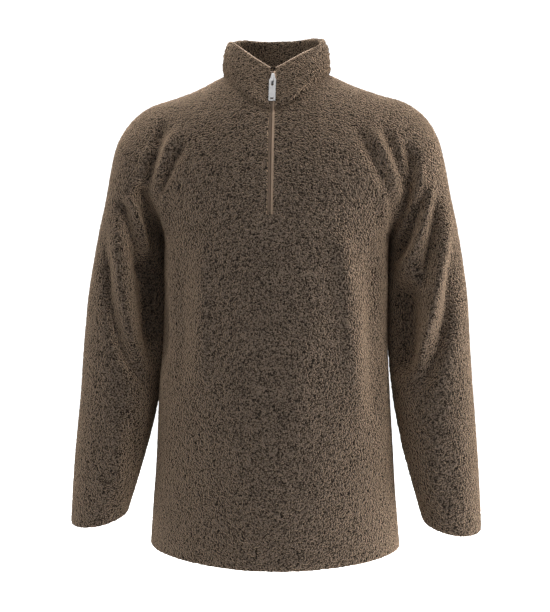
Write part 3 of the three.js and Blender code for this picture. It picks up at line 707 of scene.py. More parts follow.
def wall_mesh(name, outer, inner, wrap, cells, step, rolled):
    """A closed wall between an outer face, fine, and an inner face of one cell for step by step fine
    ones. cells says which cells exist; rolled(i, j) says at which edge points the edge is rolled over
    and which way it bulges there, or None."""
    columns, rows = outer.shape[:2]
    across = columns if wrap else columns - 1
    points = np.concatenate([outer.reshape(-1, 3), inner.reshape(-1, 3)])
    extra = []

    def out(i, j):
        return (i % columns) * rows + j

    def back(i, j):
        return columns * rows + out(i, j)

    def exists(i, j):
        i = i % columns if wrap else i
        return 0 <= i < across and 0 <= j < rows - 1 and cells[i, j]

    i, j = np.nonzero(cells)
    faces = list(np.stack([out(i, j), out(i + 1, j), out(i + 1, j + 1), out(i, j + 1)], -1))

    def side(i, j, di, dj, beyond):
        """A corner of an inner cell, with the fine points after it where no cell lies beyond."""
        count = 1 if exists(*beyond) else step
        return [back(i + di * k, j + dj * k) for k in range(count)]

    for ci in range(0, across, step):
        for cj in range(0, rows - 1, step):
            if not cells[ci, cj]:
                continue
            far, top = ci + step, cj + step
            face = side(ci, cj, 0, 1, (ci - 1, cj)) + side(ci, top, 1, 0, (ci, top))
            faces.append(face + side(far, top, 0, -1, (far, cj)) + side(far, cj, -1, 0, (ci, cj - 1)))

    rims, straights, middles = [], [], {}

    def line(i, j):
        """Point numbers over the edge at one border point, from the outer face to the inner."""
        at = (i % columns if wrap else i, j)
        if at not in middles:
            way = rolled(*at)
            middles[at] = []
            if way is not None:
                o, b = points[out(*at)], points[back(*at)]
                for k in range(1, ROLL_STEPS + 1):
                    turn = math.pi * k / (ROLL_STEPS + 1)
                    round_way = way * np.linalg.norm(o - b) / 2 * math.sin(turn)
                    middles[at].append(2 * columns * rows + len(extra))
                    extra.append((o + b) / 2 + (o - b) / 2 * math.cos(turn) + round_way)
        return [out(*at), *middles[at], back(*at)]

    def edge(a, b):
        first, second = line(*a), line(*b)
        if len(first) == len(second) > 2:
            for k in range(len(first) - 1):
                rims.append([first[k], first[k + 1], second[k + 1], second[k]])
        else:
            straights.append(first + second[::-1])

    for i, j in zip(*np.nonzero(cells)):
        if not exists(i, j - 1):
            edge((i, j), (i + 1, j))
        if not exists(i, j + 1):
            edge((i + 1, j + 1), (i, j + 1))
        if not exists(i - 1, j):
            edge((i, j + 1), (i, j))
        if not exists(i + 1, j):
            edge((i + 1, j), (i + 1, j + 1))
    if extra:
        points = np.concatenate([points, extra])
    return mesh_of(name, points, faces + rims + straights, len(faces) + len(rims))


TUBE_UP = (0.3, 0.2, 1.0)  # no tube here runs this way


def tube_mesh(name, path, radius, sides=8):
    """A closed tube along a path, both in millimetres; radius may change along it."""
    path = np.asarray(path, float)
    run = unit(np.gradient(path, axis=0))
    side = unit(np.cross(run, TUBE_UP))
    up = np.cross(side, run)
    turn = np.linspace(0, 2 * math.pi, sides, endpoint=False)[None, :, None]
    radius = np.broadcast_to(radius, len(path))[:, None, None]
    ring = path[:, None] + radius * (np.cos(turn) * side[:, None] + np.sin(turn) * up[:, None])
    faces = []
    for k in range(len(path) - 1):
        for s in range(sides):
            t = (s + 1) % sides
            faces.append([k * sides + s, (k + 1) * sides + s, (k + 1) * sides + t, k * sides + t])
    faces.append(list(range(sides)))
    faces.append([(len(path) - 1) * sides + s for s in reversed(range(sides))])
    return mesh_of(name, ring.reshape(-1, 3), faces)


def joined_mesh(name, meshes):
    """One mesh of several."""
    points, faces, smoothed, start = [], [], [], 0
    for mesh in meshes:
        points += [tuple(vertex.co) for vertex in mesh.vertices]
        faces += [[start + v for v in polygon.vertices] for polygon in mesh.polygons]
        smoothed += [polygon.use_smooth for polygon in mesh.polygons]
        start = len(points)
    made = bpy.data.meshes.new(name)
    made.from_pydata(points, [], faces)
    made.polygons.foreach_set("use_smooth", smoothed)
    for mesh in meshes:
        bpy.data.meshes.remove(mesh)
    return made


# ---------------------------------------------------------------- shader maths
class Signal:
    """A socket of a node tree, so that shader maths reads as Python."""

    def __init__(self, shading, socket):
        self.shading, self.socket = shading, socket

    def math(self, operation, first, second, clamp=False):
        settings = {"operation": operation, "use_clamp": clamp}
        return self.shading.node("ShaderNodeMath", settings, {"Value": first, "Value_001": second})

    def __add__(self, other):
        return self.math("ADD", self, other)

    def __radd__(self, other):
        return self.math("ADD", other, self)

    def __sub__(self, other):
        return self.math("SUBTRACT", self, other)

    def __rsub__(self, other):
        return self.math("SUBTRACT", other, self)

    def __mul__(self, other):
        return self.math("MULTIPLY", self, other)

    def __rmul__(self, other):
        return self.math("MULTIPLY", other, self)

    def sine(self):
        return self.math("SINE", self, 0.0)

    def held(self):
        """The same value, kept between 0 and 1."""
        return self.math("ADD", self, 0.0, clamp=True)


class Shading:
    """A node tree whose nodes are all made by one method."""

    def __init__(self, tree):
        self.tree = tree

    def node(self, kind, settings=None, sockets=None, output=None):
        """A node of a type, with its settings, then the values or links of its sockets. It comes back
        as the output asked for, or else its first. Sockets go by their identifiers."""
        node = self.tree.nodes.new(kind)
        for key, value in (settings or {}).items():
            setattr(node, key, value)
        self.feed(node, sockets or {})
        outputs = {socket.identifier: socket for socket in node.outputs}
        return Signal(self, outputs[output] if output else next(iter(node.outputs), None))

    def feed(self, node, sockets):
        slots = {slot.identifier: slot for slot in node.inputs}
        for key, value in sockets.items():
            if isinstance(value, Signal):
                self.tree.links.new(value.socket, slots[key])
            else:
                slots[key].default_value = value


class Finish(Shading):
    """A material and the nodes of its shader."""

    def __init__(self, name):
        self.material = bpy.data.materials.new(name)
        self.material.use_nodes = True
        super().__init__(self.material.node_tree)
        self.place = self.node("ShaderNodeTexCoord", output="Object")

    def mixed(self, a, b, factor):
        """Two colours mixed by a factor from 0 to 1."""
        sockets = {"Factor_Float": factor, "A_Color": a, "B_Color": b}
        return self.node("ShaderNodeMix", {"data_type": "RGBA"}, sockets, "Result_Color")

    def vector(self, operation, **sockets):
        return self.node("ShaderNodeVectorMath", {"operation": operation}, sockets)

    def moved(self, place, colour, amount):
        """A place moved by a colour, of which a middle grey is no move."""
        centred = self.vector("SUBTRACT", Vector=colour, Vector_001=(0.5, 0.5, 0.5))
        move = self.vector("SCALE", Vector=centred, Scale=amount)
        return self.vector("ADD", Vector=place, Vector_001=move)

    def noise(self, place, size, detail, roughness=0.5, output="Fac"):
        """Noise with features of about the given size in metres."""
        sockets = {"Vector": place, "Scale": 1.0 / size, "Detail": detail, "Roughness": roughness}
        return self.node("ShaderNodeTexNoise", None, sockets, output)

    def bump(self, height, distance, strength):
        sockets = {"Height": height, "Distance": distance, "Strength": strength}
        return self.node("ShaderNodeBump", None, sockets)

    def made(self, **sockets):
        """The material, once the main shader's sockets have their values or links."""
        named = {key.replace("_", " "): value for key, value in sockets.items()}
        self.feed(self.tree.nodes["Principled BSDF"], named)
        return self.material


WHITE = (1, 1, 1, 1)

# The fleece's grain. Sizes are shares of a curl's width; the others are shares of the relief, but for
# PATCH_SHARE, a share of the colour.
GRAIN_WARP_SIZE = 1.7
GRAIN_WARP = 0.4
CURL_SIZE = 1.2
CURL_SHARE = 1.4
STRAND_SIZE = 0.8
STRAND_SHARE = 2.0
PIT_SHARE = 0.8
PIT_RANDOMNESS = 0.7
GRAIN_MIDDLE = 0.44
PATCH_SIZE = 12
PATCH_SHARE = 0.08

TAPE_RIB = 0.0011  # sizes of the weave and the metal's grain, in metres
TAPE_FIBRE = 0.0006
TAPE_RIB_SHARE = 0.6
TAPE_PIT = 0.72  # how dark the weave is between its ribs
TAPE_RELIEF = 0.00025
METAL_GRAIN = 0.0007
METAL_WEAR = 0.006
METAL_RELIEF = 0.00008
METAL_WORN = 0.85  # how dark the metal is where it is worn
METAL_ROUGHNESS = 0.3
GRAIN_ROUGHNESS = 0.18
WEAR_ROUGHNESS = 0.1


def rgb(colour, share=1.0):
    """A colour of a property as a socket value, darkened or lightened."""
    return (*[min(channel * share, 1.0) for channel in colour[:3]], 1.0)


@functools.lru_cache
def fleece_material(name="sherpa_fleece", contrast=1.0, shade=1.0):
    """Curled pile: curls, finer strands and pits between them, with painted shade in the pits and painted
    light on the curls' tips. shade darkens the colours and the sheen.
    """
    look = bpy.context.scene.pullover_fleece
    finish = Finish(name)
    size = look.curl_size
    warp = finish.noise(finish.place, size * GRAIN_WARP_SIZE, detail=1.0, output="Color")
    place = finish.moved(finish.place, warp, size * GRAIN_WARP)
    curl = (finish.noise(place, size * CURL_SIZE, detail=0.0) - 0.5) * CURL_SHARE
    cells = {"Vector": place, "Scale": 1.0 / size, "Randomness": PIT_RANDOMNESS}
    pits = finish.node("ShaderNodeTexVoronoi", {"feature": "F1"}, cells, "Distance")
    strands = (finish.noise(place, size * STRAND_SIZE, detail=0.0) - 0.5) * STRAND_SHARE
    patches = (finish.noise(finish.place, size * PATCH_SIZE, detail=2.0) - 0.5) * PATCH_SHARE
    height = (curl + strands + (0.5 - pits) * PIT_SHARE + GRAIN_MIDDLE).held()
    # The colour follows the relief: painted shade in the pits and painted light on the tips, with random
    # patches of tone.
    light = ((height - 0.5) * (look.painted_relief_contrast * contrast) + patches + 0.5).held()
    low = finish.mixed(rgb(look.pit_painted_shade_colour, shade), rgb(look.pile_colour, shade), (light * 2.0).held())
    colour = finish.mixed(low, rgb(look.tip_painted_light_colour, shade), (light * 2.0 - 1.0).held())
    return finish.made(
        Base_Color=colour,
        Roughness=0.92,
        Specular_IOR_Level=0.15,
        Sheen_Weight=look.sheen * shade,
        Sheen_Roughness=0.35,
        Sheen_Tint=rgb(look.sheen_colour),
        Normal=finish.bump(height, look.curl_height * contrast, strength=1.0),
    )


@functools.lru_cache
def tape_material(name, share):
    """Woven tape with ribs across its length."""
    look = bpy.context.scene.pullover_zip
    finish = Finish(name)
    up = finish.node("ShaderNodeSeparateXYZ", None, {"Vector": finish.place}, "Z")
    ribs = (up * (2 * math.pi / TAPE_RIB)).sine() * 0.5 + 0.5
    fibres = finish.noise(finish.place, TAPE_FIBRE, detail=3.0)
    weave = (ribs * TAPE_RIB_SHARE + fibres * (1 - TAPE_RIB_SHARE)).held()
    colour = finish.mixed(rgb(look.tape_colour, share * TAPE_PIT), rgb(look.tape_colour, share), weave)
    return finish.made(
        Base_Color=colour,
        Roughness=0.8,
        Specular_IOR_Level=0.25,
        Normal=finish.bump(weave, TAPE_RELIEF, strength=0.8),
    )


@functools.lru_cache
def metal_material():
    """Satin metal with a fine grain and slight wear."""
    look = bpy.context.scene.pullover_zip
    finish = Finish("satin_zip_metal")
    grain = finish.noise(finish.place, METAL_GRAIN, detail=3.0, roughness=0.6)
    wear = finish.noise(finish.place, METAL_WEAR, detail=3.0, roughness=0.6)
    return finish.made(
        Base_Color=finish.mixed(rgb(look.metal_colour, METAL_WORN), rgb(look.metal_colour), wear),
        Metallic=1.0,
        Roughness=(grain * GRAIN_ROUGHNESS + METAL_ROUGHNESS + wear * WEAR_ROUGHNESS).held(),
        Normal=finish.bump(grain, METAL_RELIEF, strength=0.5),
    )


# ---------------------------------------------------------------- settings
def length_setting(name, description, default):
    return FloatProperty(name=name, description=description, default=default, unit="LENGTH")


def share_setting(name, description, default):
    return FloatProperty(name=name, description=description, default=default, subtype="FACTOR")


def power_setting(name, description, default):
    return FloatProperty(name=name, description=description, default=default, unit="POWER")


def colour_setting(name, description, default):
    return FloatVectorProperty(name=name, description=description, default=default, subtype="COLOR")


class PULLOVER_PG_fleece(PropertyGroup):
    """Sizes and colours of the sherpa fleece."""

    wall: length_setting("Wall", "Thickness of the cloth", 0.003)
    collar_wall: length_setting("Collar wall", "Thickness of the doubled collar", 0.0085)
    pile_depth: length_setting("Pile depth", "Height of the tufts of pile", 0.0013)
    tuft_size: length_setting("Tuft size", "Width of a tuft of pile", 0.0044)
    curl_size: length_setting("Curl size", "Width of a curl within a tuft", 0.0021)
    curl_height: length_setting("Curl height", "Relief of the curls", 0.0032)
    # How strongly the painted shade in the pits and the painted light on the tips follow the relief.
    painted_relief_contrast: share_setting("Mottle", "Contrast between the curls' tips and pits", 1.8)
    drape: share_setting("Drape", "Share of the cloth's slow unevenness", 1.0)
    sheen: share_setting("Sheen", "Strength of the light fuzz", 1.0)
    pile_colour: colour_setting("Pile colour", "Main colour of the pile", (0.1022, 0.0772, 0.0595))
    # The pit colour is painted shade between the curls; the tip colour is painted light on their tops.
    pit_painted_shade_colour: colour_setting("Pit colour", "Colour between the curls", (0.012, 0.009, 0.0066))
    tip_painted_light_colour: colour_setting("Tip colour", "Colour of the curls' tips", (0.214, 0.161, 0.1225))
    sheen_colour: colour_setting("Sheen colour", "Colour of the fuzz", (0.98, 0.69, 0.46))


class PULLOVER_PG_zip(PropertyGroup):
    """Sizes and colours of the zip."""

    tape_depth: length_setting("Tape depth", "Depth of the tape behind the chest's face", 0.0033)
    tape_cloth: length_setting("Tape thickness", "Thickness of the woven tape", 0.0008)
    tooth_pitch: length_setting("Tooth pitch", "Distance between the coil's teeth", 0.0015)
    edge_radius: length_setting("Collar edge radius", "Radius of the light edge of the collar", 0.0011)
    tape_colour: colour_setting("Tape colour", "Colour of the zip tape", (0.68, 0.49, 0.355))
    metal_colour: colour_setting("Metal colour", "Colour of the slider and pull", (0.46, 0.46, 0.47))


class PULLOVER_PG_stage(PropertyGroup):
    """The stage, its lights and the camera."""

    floor_drop: length_setting("Floor drop", "Height of the hem above the floor", 0.26)
    distance: length_setting("Camera distance", "Distance of the camera from its aim", 1.29)
    azimuth: FloatProperty(
        name="Camera azimuth",
        description="Turn of the camera round the pullover",
        default=math.radians(5),
        subtype="ANGLE",
        unit="ROTATION",
    )
    key_power: power_setting("Key light", "Power of the light at the wearer's left", 29)
    fill_power: power_setting("Fill light", "Power of the light at the wearer's right", 12)
    top_power: power_setting("Top light", "Power of the light above", 23)
    ambient: share_setting("Ambient", "Strength of the light from all round", 0.22)
    floor_colour: colour_setting("Floor colour", "Colour of the floor", (0.95, 0.95, 0.95))


# ---------------------------------------------------------------- making the pieces
def faces_of(name, calm=1.0, more=1.0, wall=None):
    """A piece's outer face with its drape and pile, and its smooth inner face a wall's thickness in
    metres behind. calm is the share of drape and pile that it keeps; more raises the pile."""
    look = bpy.context.scene.pullover_fleece
    grid, normals = panels()[name]["grid"], panels()[name]["normals"]
    level = grid + normals * (look.drape * calm * drape(grid))[..., None]
    pile = pile_height(grid, look.tuft_size / MM, look.pile_depth / MM)
    inner = level - normals * (look.wall if wall is None else wall) / MM
    return level + normals * (pile * calm * more)[..., None], inner


def edge_way(outer, i, j, across, up, share=1.0):
    """The way out over an edge at one of its points, from the point EDGE_CELLS cells further in."""
    way = outer[i, j] - outer[i + across * EDGE_CELLS, j + up * EDGE_CELLS]
    return share * way / np.linalg.norm(way)


def zip_calm(grid, reach):
    """How much of the pile stands up: less beside the zip, all of it a little way off."""
    beside = (grid[..., 2] > UNDERARM_Z) & (grid[..., 1] < 0)
    off = smooth(ZIP_SLIT / 2, ZIP_SLIT / 2 + reach, np.abs(grid[..., 0]))
    return np.where(beside, ZIP_CALM + (1 - ZIP_CALM) * off, 1.0)


def fleece_piece(name, outer, inner, rolled, wrap=False, gap=None, step=INNER_STEP, material=None):
    """A piece of fleece between two faces, without the cells of the gap. step and rolled are those of
    wall_mesh."""
    columns, rows = outer.shape[:2]
    cells = np.ones((columns if wrap else columns - 1, rows - 1), bool)
    if gap:
        cells[gap] = False
    mesh = wall_mesh(name, outer, inner, wrap, cells, step, rolled)
    return add_object(name, mesh, material or fleece_material())


def make_front():
    outer, inner = faces_of("front_panel", zip_calm(panels()["front_panel"]["grid"], CALM_REACH))
    slit = NECK_COLUMNS + SHOULDER_COLUMNS

    def rolled(i, j):
        if j == 0:
            return edge_way(outer, i, j, 0, 1)
        if i == slit and j >= SLIT_FOOT_ROW:
            return edge_way(outer, i, j, -1, 0)
        if i == slit + SLIT_COLUMNS and j >= SLIT_FOOT_ROW:
            return edge_way(outer, i, j, 1, 0)
        return None

    gap = np.s_[slit : slit + SLIT_COLUMNS, SLIT_FOOT_ROW:]
    piece = fleece_piece("front_fleece", outer, inner, rolled, gap=gap)
    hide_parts("front_panel")


def make_back():
    outer, inner = faces_of("back_panel")

    def rolled(i, j):
        return edge_way(outer, i, j, 0, 1) if j == 0 else None

    piece = fleece_piece("back_fleece", outer, inner, rolled)
    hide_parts("back_panel")


def make_sleeve(side_name):
    outer, inner = faces_of(side_name)

    def rolled(i, j):
        return edge_way(outer, i, j, 0, -1) if j == SLEEVE_RINGS else None

    piece = fleece_piece(side_name + "_fleece", outer, inner, rolled, wrap=True)
    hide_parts(side_name)


def collar_faces():
    """The collar's outer and inner face."""
    look = bpy.context.scene.pullover_fleece
    up = np.linspace(0, 1, COLLAR_ROWS + 1)
    more = mix(1, COLLAR_PILE, smooth(0, COLLAR_PILE_UP, up))
    calm = zip_calm(panels()["collar"]["grid"], COLLAR_CALM_REACH)
    wall = mix(look.wall * COLLAR_FOOT, look.collar_wall, smooth(0, COLLAR_THICK_UP, up))
    return faces_of("collar", calm, more, wall[None, :, None])


def zip_bulge(z):
    """How far the collar's zip edge bulges towards the middle: less where the slider needs room."""
    beside = smooth(SLIDER_FOOT_Z - ROOM_BELOW, SLIDER_FOOT_Z, z)
    return ZIP_BULGE - SLIDER_ROOM * beside * (1 - smooth(SLIDER_TOP_Z, SLIDER_TOP_Z + ROOM_ABOVE, z))


def make_collar():
    outer, inner = collar_faces()
    last = len(outer) - 1

    def rolled(i, j):
        if j == COLLAR_ROWS:
            return edge_way(outer, i, j, 0, -1)
        if i == 0:
            return edge_way(outer, i, j, 1, 0, zip_bulge(outer[i, j, 2]))
        if i == last:
            return edge_way(outer, i, j, -1, 0, zip_bulge(outer[i, j, 2]))
        return None

    # The collar's darker colour is partly its own tone and partly painted shade.
    material = fleece_material("collar_sherpa_fleece", COLLAR_CONTRAST, COLLAR_TONE_AND_PAINTED_SHADE)
    piece = fleece_piece("collar_fleece", outer, inner, rolled, step=COLLAR_INNER_STEP, material=material)
    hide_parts("collar")


def make_collar_edge():
    """The light edge of the turned-in cloth along both front halves of the rim."""
    zip_look = bpy.context.scene.pullover_zip
    outer, inner = collar_faces()
    last = len(outer) - 1
    count = NECK_COLUMNS - EDGE_SHORT
    turn = math.radians(EDGE_TURN)
    meshes = []
    for columns in (range(count), range(last, last - count, -1)):
        path = []
        for i in columns:
            way = edge_way(outer, i, COLLAR_ROWS, 0, -1)
            o, b = outer[i, -1], inner[i, -1]
            half = np.linalg.norm(o - b) / 2
            path.append((o + b) / 2 + (o - b) / 2 * math.cos(turn) + way * half * math.sin(turn))
        tip = path[0] * (0, 1, 1) + (math.copysign(EDGE_TIP, path[0][0]), 0, -EDGE_DIP)
        path = np.array([tip, *path])
        kernel = np.ones(EDGE_EVEN) / EDGE_EVEN
        more = EDGE_EVEN // 2
        padded = np.concatenate([path[:1].repeat(more, 0), path, path[-1:].repeat(more, 0)])
        path = np.stack([np.convolve(padded[:, k], kernel, "valid") for k in range(3)], -1)
        fade = 1 - EDGE_FADE * smooth(EDGE_FADE_FROM, 1, np.linspace(0, 1, len(path)))
        meshes.append(tube_mesh("edge_half", path, zip_look.edge_radius / MM * fade))
    mesh = joined_mesh("collar_edge", meshes)
    add_object("collar_edge", mesh, tape_material("edge_cloth", EDGE_SHADE))


# ---------------------------------------------------------------- zip
TAPE_GAP = 1.5
TAPE_HALF_WIDTH = 12.0
NARROW_TAPE = 5.2
TAPE_NARROWS = (-40, -26)  # along the zip from the neckline
TAPE_DEPTH_COLLAR = 2.2
TAPE_RISES = (-14, 8)
TAPE_FOOT_ROWS = 2
TAPE_CELLS = 8
CORD_HEIGHT = 0.35  # the cord woven along the tape's inner edge
CORD_IN = 0.6
CORD_SPREAD = 0.5
# The tape on the wearer's right carries painted shadow, for the shadow of the cloth's edge over it.
RIGHT_TAPE_PAINTED_SHADOW = 0.38  # the tape on the wearer's right is this much darker
CHAIN_BEHIND = 1.1
CHAIN_DEPTH = 1.6
COIL_RADIUS = 0.42
COIL_SIDES = 6
COIL_STEPS = 10
COIL_START = 6.0
COIL_BELOW_SLIDER = 6.0
COIL_MIDDLE = 0.75
COIL_REACH = 1.15
COIL_SHADE = 0.6
SLIDER_BELOW_RIM = 6.0
SLIDER_LENGTH = 17.5
SLIDER_TOP_WIDTH = 3.6
SLIDER_WIDTH = 9.0
SLIDER_TAPER = 11.5
SLIDER_CORNER = 0.8
SLIDER_CLEAR = 0.3
SLIDER_PLATE = 1.4
SLIDER_BACK_PLATE = 1.2
DIVIDER_WIDTH = 0.9
DIVIDER_TOP = 1.5
DIVIDER_FOOT = 4.5
BRIDGE_TOP = 9.4
BRIDGE_FOOT = 16.3
BRIDGE_WIDTH = 2.1
BRIDGE_CLEAR = 3.6
BRIDGE_CROWN = 1.2
BRIDGE_CORNER = 0.6
BRIDGE_LEG = 1.5
JOINED = 0.5  # how far the slider's inner parts reach into its plates
OUTER_BEVEL = 0.35
BACK_BEVEL = 0.3
LEG_BEVEL = 0.2
DIVIDER_BEVEL = 0.1
BEVEL_STEPS = 2
PULL_WIDTH = 10.0
PULL_LENGTH = 35.0
PULL_THICKNESS = 1.6
PULL_BAR = 2.7
PULL_CORNER = 1.2
PULL_BEVEL = 0.3
HOLE_CORNER = 0.5
WINDOW_WIDTH = 3.2
WINDOW_LENGTH = 8.0
SLOT_WIDTH = 4.8
SLOT_LOW = 2.0
SLOT_HIGH = 4.8


def zip_line():
    """Points up the middle of the zip, the way into the cloth there, the tape's depth and half width,
    and the distance along the zip."""
    look = bpy.context.scene.pullover_zip
    chest, collar = panels()["front_panel"], panels()["collar"]
    column = NECK_COLUMNS + SHOULDER_COLUMNS + SLIT_COLUMNS
    first = SLIT_FOOT_ROW - TAPE_FOOT_ROWS
    rows = slice(first, None)
    points = np.concatenate([chest["grid"][column, rows], collar["grid"][0, 1:-1]])
    normals = np.concatenate([chest["normals"][column, rows], collar["normals"][0, 1:-1]])
    points = points * (0, 1, 1) + (points[:, :1] - ZIP_SLIT / 2) * (1, 0, 0)
    inward = -unit(normals * (0, 1, 1))
    along = lengths_along(points)
    neck = along[chest["grid"].shape[1] - first - 1]
    depth = mix(look.tape_depth / MM, TAPE_DEPTH_COLLAR, smooth(*TAPE_RISES, along - neck))
    half_width = mix(TAPE_HALF_WIDTH, NARROW_TAPE, smooth(*TAPE_NARROWS, along - neck))
    return points, inward, depth, half_width, along


def make_tape(side):
    look = bpy.context.scene.pullover_zip
    points, inward, depth, half_width, along = zip_line()
    name = "zip_tape_left" if side > 0 else "zip_tape_right"
    shares = np.linspace(0, 1, TAPE_CELLS + 1)
    across = side * mix(TAPE_GAP / 2, half_width[None, :], shares[:, None])
    cord = CORD_HEIGHT * np.exp(-(((np.abs(across) - TAPE_GAP / 2 - CORD_IN) / CORD_SPREAD) ** 2))
    face = points[None] + across[..., None] * (1, 0, 0) + inward[None] * (depth[None] - cord)[..., None]
    if side < 0:
        face = face[::-1]
    inner = face + inward[None] * look.tape_cloth / MM
    cells = np.ones((TAPE_CELLS, len(along) - 1), bool)
    mesh = wall_mesh(name + "_woven", face, inner, False, cells, 1, lambda i, j: None)
    # The wearer's right tape gets its painted shadow here.
    material = tape_material(name + "_cloth", 1.0 if side > 0 else RIGHT_TAPE_PAINTED_SHADOW)
    piece = add_object(name + "_woven", mesh, material)
    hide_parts(name)


def make_coil():
    """The two interlocked coils of teeth behind the tapes."""
    look = bpy.context.scene.pullover_zip
    points, inward, depth, _, along = zip_line()
    pitch = look.tooth_pitch / MM
    top = along[-1] - (SLIDER_BELOW_RIM + COIL_BELOW_SLIDER)
    turns = int((top - COIL_START) / pitch)
    at = np.linspace(0, turns, turns * COIL_STEPS + 1)
    turn = at * 2 * math.pi
    meshes = []
    for side in (-1, 1):
        offset = 0.0 if side > 0 else pitch / 2
        place = COIL_START + offset + at * pitch
        middle = np.stack([np.interp(place, along, points[:, k]) for k in range(3)], -1)
        way = unit(np.stack([np.interp(place, along, inward[:, k]) for k in range(3)], -1))
        deep = np.interp(place, along, depth) + CHAIN_BEHIND + CHAIN_DEPTH / 2
        deep += (CHAIN_DEPTH / 2 - COIL_RADIUS) * np.sin(turn)
        out = side * (COIL_MIDDLE - COIL_REACH * np.cos(turn))
        path = middle + out[:, None] * (1, 0, 0) + way * deep[:, None]
        meshes.append(tube_mesh("coil_half", path, COIL_RADIUS, COIL_SIDES))
    mesh = joined_mesh("zip_coil", meshes)
    piece = add_object("zip_coil", mesh, tape_material("coil_nylon", COIL_SHADE))
    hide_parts("zip_chain")


def slider_matrix():
    """The slider's own frame: its top is the origin, y runs up the collar and z out of the cloth."""
    collar = panels()["collar"]["grid"]
    base = collar[:1, 0]
    rim = rim_points(base)[0]
    up = unit(rim - base[0])
    side = np.array([1.0, 0, 0])
    outward = np.cross(side, up)
    origin = rim - SLIDER_BELOW_RIM * up
    origin[0] = 0
    matrix = Matrix.Identity(4)
    for k, axis in enumerate((side, up, outward)):
        for row in range(3):
            matrix[row][k] = axis[row]
    matrix.translation = Vector(origin * MM)
    return matrix


def plate_mesh(name, outlines, low, high, bevel):
    """A plate with rounded edges: its outlines, in millimetres, lie flat and it is raised from low to
    high. The first outline is its edge and the others are holes."""
    curve = bpy.data.curves.new(name, "CURVE")
    curve.dimensions = "2D"
    curve.fill_mode = "BOTH"
    for outline in outlines:
        spline = curve.splines.new("POLY")
        spline.points.add(len(outline) - 1)
        for point, (x, y) in zip(spline.points, outline):
            point.co = (x * MM, y * MM, 0, 1)
        spline.use_cyclic_u = True
    curve.bevel_depth = bevel * MM
    curve.bevel_resolution = BEVEL_STEPS
    curve.offset = -bevel * MM
    curve.extrude = ((high - low) / 2 - bevel) * MM
    obj = bpy.data.objects.new(name, curve)
    mesh = bpy.data.meshes.new_from_object(obj)
    mesh.transform(Matrix.Translation((0, 0, (low + high) / 2 * MM)))
    bpy.data.objects.remove(obj)
    bpy.data.curves.remove(curve)
    return mesh


def box_outline(width, low, high, corner=0.0, steps=5):
    """A rectangle on the zip's middle line, its corners rounded by the given radius."""
    half = width / 2
    if not corner:
        return [(-half, low), (half, low), (half, high), (-half, high)]
    points = []
    for x, y, start in (
        (half - corner, low + corner, -90),
        (half - corner, high - corner, 0),
        (-half + corner, high - corner, 90),
        (-half + corner, low + corner, 180),
    ):
        for k in range(steps + 1):
            turn = math.radians(start + 90 * k / steps)
            points.append((x + corner * math.cos(turn), y + corner * math.sin(turn)))
    return points


def make_slider():
    """The slider: two tapered plates, the divider between them and the bridge that holds the pull."""
    top, wide = SLIDER_TOP_WIDTH / 2, SLIDER_WIDTH / 2
    outline = [
        (-top, 0),
        (-wide, -SLIDER_TAPER),
        (-wide, -SLIDER_LENGTH + SLIDER_CORNER),
        (-wide + SLIDER_CORNER, -SLIDER_LENGTH),
        (wide - SLIDER_CORNER, -SLIDER_LENGTH),
        (wide, -SLIDER_LENGTH + SLIDER_CORNER),
        (wide, -SLIDER_TAPER),
        (top, 0),
    ]
    back = -(TAPE_DEPTH_COLLAR - SLIDER_CLEAR)
    face = back + SLIDER_PLATE
    channel = -(TAPE_DEPTH_COLLAR + CHAIN_BEHIND + CHAIN_DEPTH + SLIDER_CLEAR)
    under = face + BRIDGE_CLEAR
    divider = box_outline(DIVIDER_WIDTH, -DIVIDER_FOOT, -DIVIDER_TOP)
    crown = box_outline(BRIDGE_WIDTH, -BRIDGE_FOOT, -BRIDGE_TOP, BRIDGE_CORNER)
    upper_leg = box_outline(BRIDGE_WIDTH, -BRIDGE_TOP - BRIDGE_LEG, -BRIDGE_TOP)
    lower_leg = box_outline(BRIDGE_WIDTH, -BRIDGE_FOOT, -BRIDGE_FOOT + BRIDGE_LEG)
    plates = (
        (outline, back, face, OUTER_BEVEL),
        (outline, channel - SLIDER_BACK_PLATE, channel, BACK_BEVEL),
        (divider, channel - JOINED, back + JOINED, DIVIDER_BEVEL),
        (crown, under, under + BRIDGE_CROWN, OUTER_BEVEL),
        (upper_leg, face - JOINED, under + JOINED, LEG_BEVEL),
        (lower_leg, face - JOINED, under + JOINED, LEG_BEVEL),
    )
    meshes = [plate_mesh("slider_plate", [edge], low, high, bevel) for edge, low, high, bevel in plates]
    mesh = joined_mesh("slider_body", meshes)
    mesh.transform(slider_matrix())
    piece = add_object("slider_body", mesh, metal_material())
    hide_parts("zip_slider")


def make_pull():
    """The pull tab, hung by its top bar on the slider's bridge."""
    high = PULL_BAR / 2
    low = high - PULL_LENGTH
    half = PULL_THICKNESS / 2
    window = box_outline(WINDOW_WIDTH, -high - WINDOW_LENGTH, -high, HOLE_CORNER)[::-1]
    slot = box_outline(SLOT_WIDTH, low + SLOT_LOW, low + SLOT_HIGH, HOLE_CORNER)[::-1]
    edge = box_outline(PULL_WIDTH, low, high, PULL_CORNER)
    mesh = plate_mesh("pull_tab", [edge, window, slot], -half, half, PULL_BEVEL)
    matrix = slider_matrix()
    matrix.translation = Vector(PULL_JOINT["pos_m"])
    mesh.transform(matrix)
    piece = add_object("pull_tab", mesh, metal_material(), PULL_BODY)
    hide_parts("zip_pull")


